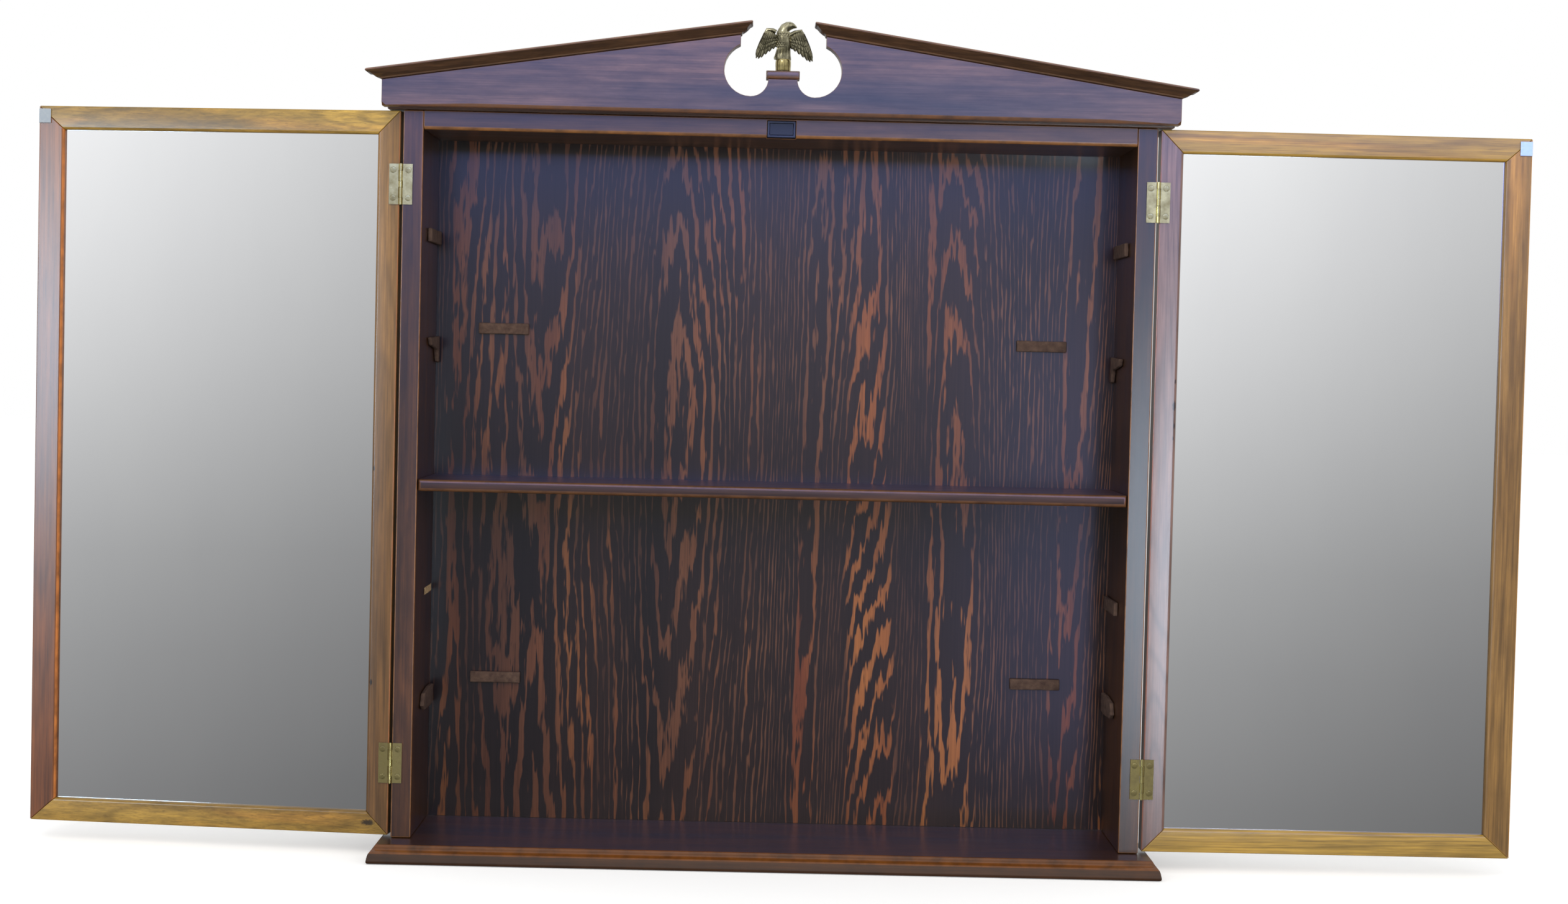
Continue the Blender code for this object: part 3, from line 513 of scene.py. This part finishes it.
STILE_GOLD = wood("stile_gold_look", "Z", colour(98, 68, 26), colour(138, 104, 52),
                  colour(170, 122, 56), rings=10.0, ring_dark=0.30, offset=1.9, streak=0.55)
STILE_BROWN = wood("stile_brown_look", "Z", colour(88, 58, 24), colour(136, 98, 48),
                   colour(134, 82, 38), rings=14.0, ring_dark=0.22, offset=0.47,
                   knots=BROWN_KNOTS)
STILE_RED = wood("stile_red_look", "Z", colour(96, 50, 12), colour(134, 82, 38),
                 colour(176, 104, 44), rings=10.0, ring_dark=0.22, offset=3.3)
STILE_VIOLET = wood("stile_violet_look", "Z", colour(96, 68, 58), colour(126, 98, 88),
                    colour(128, 68, 36), rings=24.0, ring_dark=0.38, offset=4.1, coat=0.95,
                    knots=VIOLET_KNOTS)
RAW_WOOD = wood("raw_wood_look", "X", colour(150, 112, 70), colour(186, 150, 104),
                colour(196, 160, 112), ring_dark=0.25, offset=5.2, roughness=0.7, coat=0.0)
BACK = flame_plywood()
MIRROR = silvered_glass()
BRASS = metal("hinge_brass_look", colour(196, 180, 116), colour(160, 142, 86), 0.28, grime_and_shade=0.8)
STEM_BRASS = metal("stem_brass_look", colour(190, 176, 126), colour(128, 116, 74), 0.19,
                   grime_and_shade=0.3)
EAGLE_BRASS = metal("eagle_brass_look", colour(178, 172, 144), colour(92, 88, 68), 0.22,
                    grime_and_shade=0.95)
ZINC = zinc()
PLASTIC = moulded_plastic()
FERRITE = magnet_ferrite()
FELT = felt()
BARE = bare_patch()
BOARD = plain_board()


# Mesh helpers ------------------------------------------------------------------------


def add_piece(name, shape, look, body, stands_for=(), angle=38, weighted=True):
    """Turn a bmesh into a shown piece that rides on a CAD body."""
    mesh = bpy.data.meshes.new(name)
    shape.to_mesh(mesh)
    shape.free()
    mesh.materials.append(look)
    mesh.shade_smooth()
    mesh.set_sharp_from_angle(angle=math.radians(angle))
    piece = bpy.data.objects.new(name, mesh)
    bpy.context.scene.collection.objects.link(piece)
    if weighted:
        normals = piece.modifiers.new("flat_faces_stay_flat", "WEIGHTED_NORMAL")
        normals.keep_sharp = True
    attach(piece, body)
    if stands_for:
        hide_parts(*stands_for)
    return piece


def cad_shape(node):
    """A CAD node's mesh with its flat faces made whole again."""
    shape = bmesh.new()
    shape.from_mesh(frame["nodes"][node].data)
    bmesh.ops.remove_doubles(shape, verts=shape.verts, dist=0.000004)
    bmesh.ops.dissolve_limit(shape, angle_limit=math.radians(1.0), verts=shape.verts,
                             edges=shape.edges)
    return shape


def is_outer_edge(edge, angle):
    return edge.is_manifold and edge.is_convex and edge.calc_face_angle() > math.radians(angle)


def ease(shape, radius, angle=50, steps=3):
    """Round the outer edges that turn by more than the angle."""
    edges = [edge for edge in shape.edges if is_outer_edge(edge, angle)]
    bmesh.ops.bevel(shape, geom=edges, offset=radius, segments=steps, profile=0.5,
                    affect="EDGES", clamp_overlap=True)


def on_an_edge(face):
    """Whether a face is part of a rounded edge, and not one of a board's flat sides."""
    return max(abs(face.normal.dot(axis)) for axis in AXES) < 0.985


def mark_worn(shape, rule=on_an_edge):
    """Give each face its share of wear, by a rule that takes the face."""
    worn = shape.faces.layers.float.new("worn")
    shape.normal_update()
    for face in shape.faces:
        face[worn] = float(rule(face))


def body_of(node):
    """The body that a CAD node moves with."""
    for body, nodes in frame["record"]["behaviour"]["bodies"].items():
        if node in nodes:
            return body
    return None


def eased_copy(node, look, radius, angle=50, rule=on_an_edge):
    """A CAD piece with its edges eased, in place of the sharp one."""
    shape = cad_shape(node)
    ease(shape, radius, angle)
    mark_worn(shape, rule)
    return add_piece(node + "_fine", shape, look, body_of(node), (node,))


def skin(shape, rows):
    """Join rows that have the same number of corners, and close both ends."""
    count = len(rows[0])
    for lower, upper in zip(rows, rows[1:]):
        for i in range(count):
            j = (i + 1) % count
            shape.faces.new((lower[i], lower[j], upper[j], upper[i]))
    shape.faces.new(rows[0])
    shape.faces.new(rows[-1])


def loft(rings):
    """A closed form through rings of points."""
    shape = bmesh.new()
    skin(shape, [[shape.verts.new(point) for point in ring] for ring in rings])
    bmesh.ops.recalc_face_normals(shape, faces=shape.faces)
    return shape


def curve_through(points, steps):
    """A smooth line through a few points (Catmull-Rom)."""
    ends = [points[0], *points, points[-1]]
    line = []
    for a, b, c, d in zip(ends, ends[1:], ends[2:], ends[3:]):
        for i in range(steps):
            t = i / steps
            line.append(tuple(
                0.5 * (2 * q + (r - p) * t + (2 * p - 5 * q + 4 * r - s) * t * t
                       + (3 * q - p - 3 * r + s) * t ** 3)
                for p, q, r, s in zip(a, b, c, d)))
    line.append(tuple(points[-1]))
    return line


# The box -----------------------------------------------------------------------------


def dress(node, look):
    """Give a CAD node that stays its finished material."""
    slots = frame["nodes"][node].material_slots
    if len(slots):
        for slot in slots:
            slot.material = look
    else:
        frame["nodes"][node].data.materials.append(look)


def boards():
    for node in ("side_left", "side_right"):
        eased_copy(node, BOX_UPRIGHT, BOARD_EASE)
    eased_copy("top_board", BOX_LEVEL, SMALL_EASE)
    eased_copy("shelf", SHELF, SMALL_EASE)
    eased_copy("top_plate", BOX_LEVEL, BOARD_EASE, rule=lambda face: False)
    eased_copy("plinth_cap", PEDIMENT, SMALL_EASE,
               rule=lambda face: on_an_edge(face) and face.normal.z < 0 and face.normal.y < 0)
    for node in ("glue_block_left", "glue_block_right"):
        eased_copy(node, RAW_WOOD, SMALL_EASE)
    dress("back_panel", BACK)


def profile_ring(left, right, front, back, outward, height):
    """One level of a moulding that runs along the front and both ends."""
    return [(left - outward, back, height), (left - outward, front - outward, height),
            (right + outward, front - outward, height), (right + outward, back, height)]


def sill():
    """The moulded board: a step, an ogee and a rounded fascia below a flat ledge."""
    low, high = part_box("sill")
    ledge = SILL_PROFILE[-3][0]
    rings = [profile_ring(low.x + ledge, high.x - ledge, low.y + ledge, high.y, out, high.z - down)
             for out, down in curve_through(SILL_PROFILE, 4)]
    shape = loft(rings)
    bead = high.z - SILL_BEAD
    fascia = high.z - SILL_FASCIA

    def rule(face):
        height = face.calc_center_median().z
        if abs(face.normal.z) > 0.99:
            return 0.0
        return 0.75 if height > bead else 1.0 if height > fascia else 0.12
    mark_worn(shape, rule)
    add_piece("sill_fine", shape, SILL, "cabinet", ("sill",), angle=50)


def pediment():
    low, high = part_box("pediment_board")
    middle = (low.y + high.y) / 2
    shape = cad_shape("pediment_board")
    ease(shape, SMALL_EASE, 60)
    mark_worn(shape, lambda face: 0.1 < abs(face.normal.y) < 0.985
              and face.calc_center_median().y < middle)
    add_piece("pediment_board_fine", shape, PEDIMENT, "cabinet", ("pediment_board",))


def crowns():
    """The sloping mouldings: the nose is worn, the cove under it is dark."""
    def rule(face):
        if face.normal.z > 0.1:
            return 0.85
        return 0.35 if face.normal.y < -0.9 else 0.0
    for node in ("crown_left", "crown_right"):
        eased_copy(node, MOULDING, SMALL_EASE, rule=rule)


# Doors -------------------------------------------------------------------------------


def worn_side(node, side):
    """A rule for wear on only one long edge of a stile: -1 is its left edge, 1 its right."""
    low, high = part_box(node)
    middle = (low.x + high.x) / 2
    return lambda face: on_an_edge(face) and side * (face.calc_center_median().x - middle) > 0


def doors():
    """The frames' rails share one look; each stile has its own, and one worn edge."""
    stiles = {("left", "free"): (STILE_RED, 1), ("left", "hinge"): (STILE_BROWN, 1),
              ("right", "free"): (STILE_GOLD, 1), ("right", "hinge"): (STILE_VIOLET, -1)}
    for side in ("left", "right"):
        for end in ("top", "bottom"):
            eased_copy(f"door_{side}_rail_{end}", RAIL, DOOR_EASE, 60, lambda face: False)
        for end in ("hinge", "free"):
            node = f"door_{side}_stile_{end}"
            look, edge = stiles[side, end]
            eased_copy(node, look, DOOR_EASE, 60, worn_side(node, edge))
        for panel in ("mirror_inner", "mirror_outer"):
            dress(f"door_{side}_{panel}", MIRROR)
        dress(f"door_{side}_backing", BOARD)
        eased_copy(f"door_{side}_strike", ZINC, STRIKE_EASE)


# Hardware ----------------------------------------------------------------------------


def screw_head(shape, centre, slot_turn, facing):
    """A domed countersunk head with a slot, set in a leaf that faces -Y at rest."""
    radius, half_slot = SCREW_RADIUS, SCREW_RADIUS * SCREW_SLOT
    turn = Matrix.Rotation(slot_turn, 3, "Y")
    start = math.asin(SCREW_SLOT)
    sweep = [start + (math.pi - 2 * start) * i / SCREW_STEPS for i in range(SCREW_STEPS + 1)]

    def corner(x, z, proud):
        spot = turn @ Vector((x, 0, z)) + Vector((0, -proud, 0))
        return shape.verts.new(facing @ spot + centre)

    for side in (-1, 1):
        rim, top, crown = [[corner(reach * radius * math.cos(a),
                                   side * max(half_slot, reach * radius * math.sin(a)), proud)
                            for a in sweep] for reach, proud in SCREW_DOME]
        foot = [corner(x * radius, side * half_slot, 0.00001) for x in (0.98, -0.98)]
        for outer, inner in ((rim, top), (top, crown)):
            for i in range(SCREW_STEPS):
                shape.faces.new((outer[i], outer[i + 1], inner[i + 1], inner[i]))
        shape.faces.new(crown)
        shape.faces.new([rim[0], top[0], crown[0], crown[-1], top[-1], rim[-1], foot[1], foot[0]])
    shape.faces.new([corner(x * radius, z * half_slot, 0.00004)
                     for x, z in ((-0.98, -1), (0.98, -1), (0.98, 1), (-0.98, 1))])
    count = 2 * SCREW_STEPS
    around = [math.tau * i / count for i in range(count)]
    near, far = [[corner(reach * radius * math.cos(a), reach * radius * math.sin(a), proud)
                  for a in around] for reach, proud in SCREW_GROOVE]
    for i in range(count):
        j = (i + 1) % count
        shape.faces.new((near[i], near[j], far[j], far[i]))


def hinge_screws():
    """Two screws in each leaf. Their slots ended up at all angles."""
    turns = iter(SCREW_TURNS)
    for side, inward in (("left", 1), ("right", -1)):
        for level in ("upper", "lower"):
            for leaf, body in (("box", "cabinet"), ("door", "door_" + side)):
                node = f"hinge_{side}_{level}_{leaf}_leaf"
                low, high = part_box(node)
                away = inward if leaf == "box" else -inward
                swing = DOOR_REST[side] if leaf == "door" else 0.0
                facing = Matrix.Rotation(swing, 3, "Z")
                axis = Vector((inward * -HINGE_AXIS[0], HINGE_AXIS[1], 0))
                shape = bmesh.new()
                for row in (-1, 1):
                    centre = axis + facing @ Vector((away * SCREW_REACH, LEAF_FACE, 0))
                    centre.z = (low.z + high.z) / 2 + row * SCREW_SPACING / 2
                    screw_head(shape, centre, math.radians(next(turns)), facing)
                bmesh.ops.recalc_face_normals(shape, faces=shape.faces)
                add_piece(f"hinge_{side}_{level}_{leaf}_screws", shape, BRASS, body,
                          angle=30)


def hinges():
    for node in frame["nodes"]:
        if node.startswith("hinge_"):
            dress(node, BRASS)
    hinge_screws()


def catch():
    eased_copy("catch_case", PLASTIC, CATCH_EASE)
    dress("catch_magnet", FERRITE)


# Eagle -------------------------------------------------------------------------------


def tube_along(shape, spine, sides, ribs=0, rib_depth=0.0):
    """A closed form along a spine of (centre, half width, half depth)."""
    rows = []
    for i, (centre, wide, deep) in enumerate(spine):
        before, after = spine[max(i - 1, 0)][0], spine[min(i + 1, len(spine) - 1)][0]
        along = (after - before).normalized()
        across = Vector((0, 1, 0)).cross(along).normalized()
        row = []
        for k in range(sides):
            a = math.tau * k / sides
            swell = 1 + rib_depth * math.cos(ribs * a)
            row.append(shape.verts.new(centre + across * (wide * swell * math.cos(a))
                                       + Vector((0, deep * swell * math.sin(a), 0))))
        rows.append(row)
    skin(shape, rows)


def feather(shape, root, tip, wide, thick, facing):
    """One leaf-shaped feather, from root to tip; facing is -1 to the room."""
    along = tip - root
    across = along.cross(Vector((0, facing, 0))).normalized()
    rows = []
    for share, width, lift in FEATHER_SHAPE:
        centre = root + along * share
        rows.append([shape.verts.new(centre + across * (offset * width * wide / 2)
                                     + Vector((0, facing * height * lift * thick, 0)))
                     for offset, height in FEATHER_SECTION])
    for near, far in zip(rows, rows[1:]):
        for a, b, c, d in zip(near, near[1:], far[1:], far):
            shape.faces.new((a, b, c, d))
    for row in (rows[0], rows[-1]):
        shape.faces.new(row)
    under = [shape.verts.new(row[k].co + Vector((0, -facing * thick, 0)))
             for row in rows for k in (0, -1)]
    for i in range(len(rows) - 1):
        a, b, d, c = under[2 * i:2 * i + 4]
        shape.faces.new((a, b, c, d))
        shape.faces.new((rows[i][0], rows[i + 1][0], d, a))
        shape.faces.new((rows[i][-1], rows[i + 1][-1], c, b))


def eagle_point(x, z, proud=0.0):
    """A point of the eagle, in millimetres from the top of its stem; proud is to the room."""
    low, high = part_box("finial_stem")
    return Vector((x * MM, (low.y + high.y) / 2 - proud * MM, high.z + z * MM))


def eagle_tube(shape, sections, *form):
    """A closed form through sections of the eagle."""
    tube_along(shape, [(eagle_point(x, z), wide * MM, deep * MM)
                       for x, z, wide, deep in sections], *form)


def wing(shape, roots, tips, shoulder):
    """A flat wing with long feathers fanned out below rows of short ones, on both faces."""
    root_line = curve_through(roots, 6)
    tip_line = curve_through(tips, 6)

    def on(line, share):
        """The place at a share of the way along a line of points."""
        spot = share * (len(line) - 1)
        i = min(int(spot), len(line) - 2)
        return [p + (q - p) * (spot - i) for p, q in zip(line[i], line[i + 1])]

    for facing in (-1, 1):
        for i in range(LONG_FEATHERS):
            share = i / (LONG_FEATHERS - 1)
            root = eagle_point(*on(root_line, share), -facing * (1.6 + 0.25 * (i % 2)))
            tip = eagle_point(*on(tip_line, share), -facing * (0.9 + 0.2 * (i % 2)))
            feather(shape, root, tip, 4.4 * MM, 1.0 * MM, facing)
        for row, (start, end, number) in enumerate(WING_ROWS):
            for i in range(number):
                share = (i + 0.5 * (row % 2)) / (number - 0.5)
                line = (on(root_line, share), on(tip_line, share))
                root = eagle_point(*on(line, start), -facing * (2.0 + 0.5 * row))
                tip = eagle_point(*on(line, end), -facing * (1.7 + 0.5 * row))
                feather(shape, root, tip, 3.4 * MM, 0.8 * MM, facing)
    eagle_tube(shape, shoulder, 14)


def eagle():
    """A cast brass eagle: breast scales, spread wings, a ribbed skirt and its head turned."""
    shape = bmesh.new()
    eagle_tube(shape, EAGLE_BODY, 42, 14, 0.035)
    eagle_tube(shape, EAGLE_HEAD, 20)
    for facing in (-1, 1):
        brow = [(eagle_point(x, z, -facing * out), radius * MM, radius * MM)
                for x, z, out, radius in EAGLE_BROW]
        tube_along(shape, brow, 8)
        for row in range(7):
            height = 24.5 - row * 2.0
            half = 6.6 - 0.28 * abs(row - 2.5)
            out = 5.2 - 0.06 * row
            for k in range(7 - row % 2):
                a = math.radians(-66 + 22 * k + 11 * (row % 2))
                x, depth = math.sin(a) * half - 0.3, math.cos(a) * out
                root = eagle_point(x, height + 1.2, -facing * depth)
                tip = eagle_point(x * 0.98, height - 1.7, -facing * (depth + 0.15))
                feather(shape, root, tip, 2.5 * MM, 0.5 * MM, facing)
        for k in range(7):
            a = math.radians(-63 + 21 * k)
            x, depth = math.sin(a) * 6.6 - 0.2, math.cos(a) * 5.0
            root = eagle_point(x * 0.85, 10.8, -facing * depth * 0.92)
            tip = eagle_point(x * 1.12 - 0.4, 0.2, -facing * depth)
            feather(shape, root, tip, 2.3 * MM, 0.6 * MM, facing)
    wing(shape, *WING_LEFT)
    wing(shape, *WING_RIGHT)
    for k in range(4):
        root, tip = eagle_point(-5.5 + k * 0.6, 6.5, -2.4), eagle_point(-8.4 + k * 1.7, 0.2, -2.2)
        feather(shape, root, tip, 2.8 * MM, 0.9 * MM, -1)
    bmesh.ops.recalc_face_normals(shape, faces=shape.faces)
    add_piece("eagle_finial_cast", shape, EAGLE_BRASS, "cabinet", ("eagle_finial",),
              angle=55)


def stem():
    """The turned brass barrel under the eagle."""
    low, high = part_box("finial_stem")
    centre = Vector(((low.x + high.x) / 2, (low.y + high.y) / 2, low.z))
    height, radius = high.z - low.z, (high.x - low.x) / 2
    around = [math.tau * k / STEM_SIDES for k in range(STEM_SIDES)]
    shape = loft([[centre + Vector((radius * r * math.cos(a), radius * r * math.sin(a), height * h))
                   for a in around] for r, h in curve_through(STEM_OUTLINE, 3)])
    add_piece("finial_stem_turned", shape, STEM_BRASS, "cabinet", ("finial_stem",))


# Felt --------------------------------------------------------------------------------


def soft_pad(node, seed):
    """A felt pad: rounded all over, slightly uneven, with a fuzzy cut edge."""
    shape = cad_shape(node)
    ease(shape, PAD_EASE, 40, 2)
    for _ in range(3):
        long_edges = [edge for edge in shape.edges if edge.calc_length() > PAD_GRID]
        bmesh.ops.subdivide_edges(shape, edges=long_edges, cuts=1, use_grid_fill=True)
    bmesh.ops.triangulate(shape, faces=[face for face in shape.faces if len(face.verts) > 4])
    low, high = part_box(node)
    middle = (low + high) / 2
    for vert in shape.verts:
        spot = vert.co * PAD_LUMPS + Vector((seed * 7.3, 0, 0))
        nudge = noise.noise_vector(spot) * PAD_UNEVEN
        inward = (middle - vert.co).normalized() * PAD_UNEVEN
        vert.co += nudge + inward
    mark_worn(shape, lambda face: 0.0)
    piece = add_piece(node + "_felt", shape, FELT, "cabinet", (node,), angle=80,
                      weighted=False)


def pads():
    nodes = sorted(node for node in frame["nodes"] if node.startswith("pad_"))
    for seed, node in enumerate(nodes):
        soft_pad(node, seed)


def bare_mark():
    """Where a side pad has come off, low on the left: torn glue on the bare wood."""
    outer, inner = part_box("side_left")
    wall, front = inner.x, outer.y
    low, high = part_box("pad_side_lower_right")
    start, end = front + MARK_FROM_FRONT[0], front + MARK_FROM_FRONT[1]
    middle = (low.z + high.z) / 2
    shape = bmesh.new()
    rows = []
    for step in range(MARK_STEPS + 1):
        y = start + (end - start) * step / MARK_STEPS
        wide = (high.z - low.z) * (0.52 + 0.22 * noise.noise(Vector((step * 0.9, 3.1, 0))))
        tilt = 0.0009 * noise.noise(Vector((step * 0.5, 8.0, 0)))
        rows.append([shape.verts.new((wall + proud, y, middle + z * wide + tilt))
                     for z, proud in MARK_SECTION])
    for near, far in zip(rows, rows[1:]):
        for a, b, c, d in zip(near, near[1:], far[1:], far):
            shape.faces.new((a, b, c, d))
    bmesh.ops.recalc_face_normals(shape, faces=shape.faces)
    if sum(face.normal.x for face in shape.faces) < 0:
        bmesh.ops.reverse_faces(shape, faces=shape.faces)
    mark_worn(shape, lambda face: 0.0)
    add_piece("pad_mark_left", shape, BARE, "cabinet", angle=80,
              weighted=False)


# Stage -------------------------------------------------------------------------------


def floor():
    """A white floor just under the cabinet."""
    shape = bmesh.new()
    bmesh.ops.create_grid(shape, x_segments=1, y_segments=1, size=FLOOR_SIZE)
    mesh = bpy.data.meshes.new("floor")
    shape.to_mesh(mesh)
    shape.free()
    look = Look("floor_look")
    cloud = look.noise(look.place, 3.0, 2.0)
    tone = look.mix(cloud, colour(243, 243, 242), colour(247, 247, 246))
    look.set(base_color=tone, roughness=0.9, emission_color=(1.0, 1.0, 1.0, 1.0),
             emission_strength=FLOOR_GLOW)
    mesh.materials.append(look.material)
    ground = bpy.data.objects.new("floor", mesh)
    ground.location.z = CAD_BOX[0][2] - FLOOR_DROP
    ground.visible_glossy = False
    bpy.context.scene.collection.objects.link(ground)


def area_light(name, place, aim, size, radiance, tint, glossy=True, diffuse=True):
    """A rectangular light panel; radiance is the brightness of its surface."""
    data = bpy.data.lights.new(name, "AREA")
    data.shape = "RECTANGLE"
    data.size, data.size_y = size
    data.energy = radiance * math.pi * size[0] * size[1]
    data.color = tint
    panel = bpy.data.objects.new(name, data)
    panel.location = place
    panel.rotation_euler = (Vector(aim) - Vector(place)).to_track_quat("-Z", "Y").to_euler()
    panel.visible_glossy = glossy
    panel.visible_diffuse = diffuse
    panel.visible_camera = False
    bpy.context.scene.collection.objects.link(panel)
    return panel


def pieces_named(title, words):
    """A collection of the pieces whose names hold one of the words."""
    found = bpy.data.collections.new(title)
    for part in bpy.context.scene.objects:
        if any(word in part.name for word in words):
            found.objects.link(part)
    return found


def spare(panel, words):
    """Let a light reach everything but the named pieces."""
    spared = pieces_named(panel.name + "_spares", words)
    for row in spared.collection_objects:
        row.light_linking.link_state = "EXCLUDE"
    panel.light_linking.receiver_collection = spared


def only(panel, words):
    """Let a light reach nothing but the named pieces."""
    panel.light_linking.receiver_collection = pieces_named(panel.name + "_lit", words)


# Lights: name, place, aim, size, brightness and tint
DAYLIGHT = (
    ("key", (-0.5, -2.7, 2.1), (0, 0, 0), (1.8, 1.8), 4.3, (1.0, 0.98, 0.94)),
    ("fill", (1.8, -2.6, 0.6), (0, 0, 0), (1.6, 1.6), 1.6, (1.0, 0.97, 0.93)))
# Windows, for the varnish and the brass alone: the same, and which pieces they spare or light
WINDOWS = (
    ("high_window", (0, -3.0, 1.42), (0, 0, 0.30), (4.6, 1.8), 4.3, (0.16, 0.28, 1.0), spare,
     ("mirror", "sill", "door_left", "finial")),
    ("left_window", (-2.30, -2.75, 0.18), (-0.70, -0.1, 0.05), (0.9, 0.65), 25.0,
     (0.60, 0.80, 1.0), spare,
     ("mirror", "strike", "hinge_left", "finial", "back_panel", "sill", "shelf", "crown")),
    ("right_window", (0.90, -3.10, -0.30), (0.36, -0.1, -0.05), (0.5, 0.8), 19.5,
     (0.70, 0.84, 1.0), spare,
     ("mirror", "strike", "back_panel", "shelf", "sill", "finial", "hinge_right", "stile_free",
      "crown")),
    ("low_window", (0.78, -3.0, -0.24), (0.30, 0, 0), (0.55, 1.0), 2.1, (0.40, 0.47, 1.0), only,
     ("back_panel",)),
    ("glint", (-0.75, -2.2, 1.25), (0, -0.13, 0.40), (0.55, 0.45), 13.0, (1.0, 0.97, 0.92), only,
     ("finial",)))


def lights():
    """Soft daylight from the left, and cool windows that the varnish picks up as a sheen."""
    for light in DAYLIGHT:
        area_light(*light, glossy=False)
    for *light, rule, words in WINDOWS:
        rule(area_light(*light, diffuse=False), words)


def world():
    """White behind the cabinet; in reflections, a room that darkens towards the floor."""
    made = bpy.data.worlds.new("studio")
    bpy.context.scene.world = made
    made.use_nodes = True
    graph = Graph(made.node_tree)
    away = graph.parts(graph.add("ShaderNodeTexCoord").outputs["Generated"])
    ramp = graph.add("ShaderNodeValToRGB")
    stops = ramp.color_ramp.elements
    while len(stops) < len(ROOM_LEVELS):
        stops.new(0.5)
    for stop, (position, level) in zip(stops, ROOM_LEVELS):
        stop.position = position
        stop.color = (level, level, level, 1.0)
    graph.put(graph.spread(away["Z"], *ROOM_HEIGHTS), ramp.inputs[0])
    angle = graph.math("ARCTAN2", graph.math("MULTIPLY", away["X"], -1.0),
                       graph.math("MULTIPLY", away["Y"], -1.0))
    wave = graph.math("SINE", graph.math("MULTIPLY_ADD", angle, math.tau / ROOM_PERIOD,
                                         -math.tau * ROOM_START / ROOM_PERIOD))
    swing = graph.math("MULTIPLY_ADD", wave, ROOM_SWING, 1.0)
    room = graph.mix(1.0, ramp.outputs[0], swing, "MULTIPLY")
    seen = graph.add("ShaderNodeLightPath").outputs["Is Camera Ray"]
    background = graph.tree.nodes["Background"]
    graph.put(graph.mix(seen, room, (1.0, 1.0, 1.0)), background.inputs["Color"])


def camera():
    """The photographer's camera."""
    data = bpy.data.cameras.new("camera")
    data.lens = CAMERA_LENS
    data.sensor_fit = "HORIZONTAL"
    data.sensor_width = SENSOR_WIDTH
    data.clip_start, data.clip_end = 0.05, 60.0
    made = bpy.data.objects.new("camera", data)
    turn = (Matrix.Rotation(math.radians(CAMERA_YAW), 4, "Z")
            @ Matrix.Rotation(math.radians(90 + CAMERA_PITCH), 4, "X")
            @ Matrix.Rotation(math.radians(CAMERA_ROLL), 4, "Z"))
    made.matrix_world = Matrix.Translation(CAMERA_PLACE) @ turn
    bpy.context.scene.collection.objects.link(made)
    bpy.context.scene.camera = made


boards()
sill()
pediment()
crowns()
doors()
hinges()
catch()
eagle()
stem()
pads()
bare_mark()
floor()
lights()
world()
camera()
bpy.context.scene.view_settings.view_transform = "Standard"
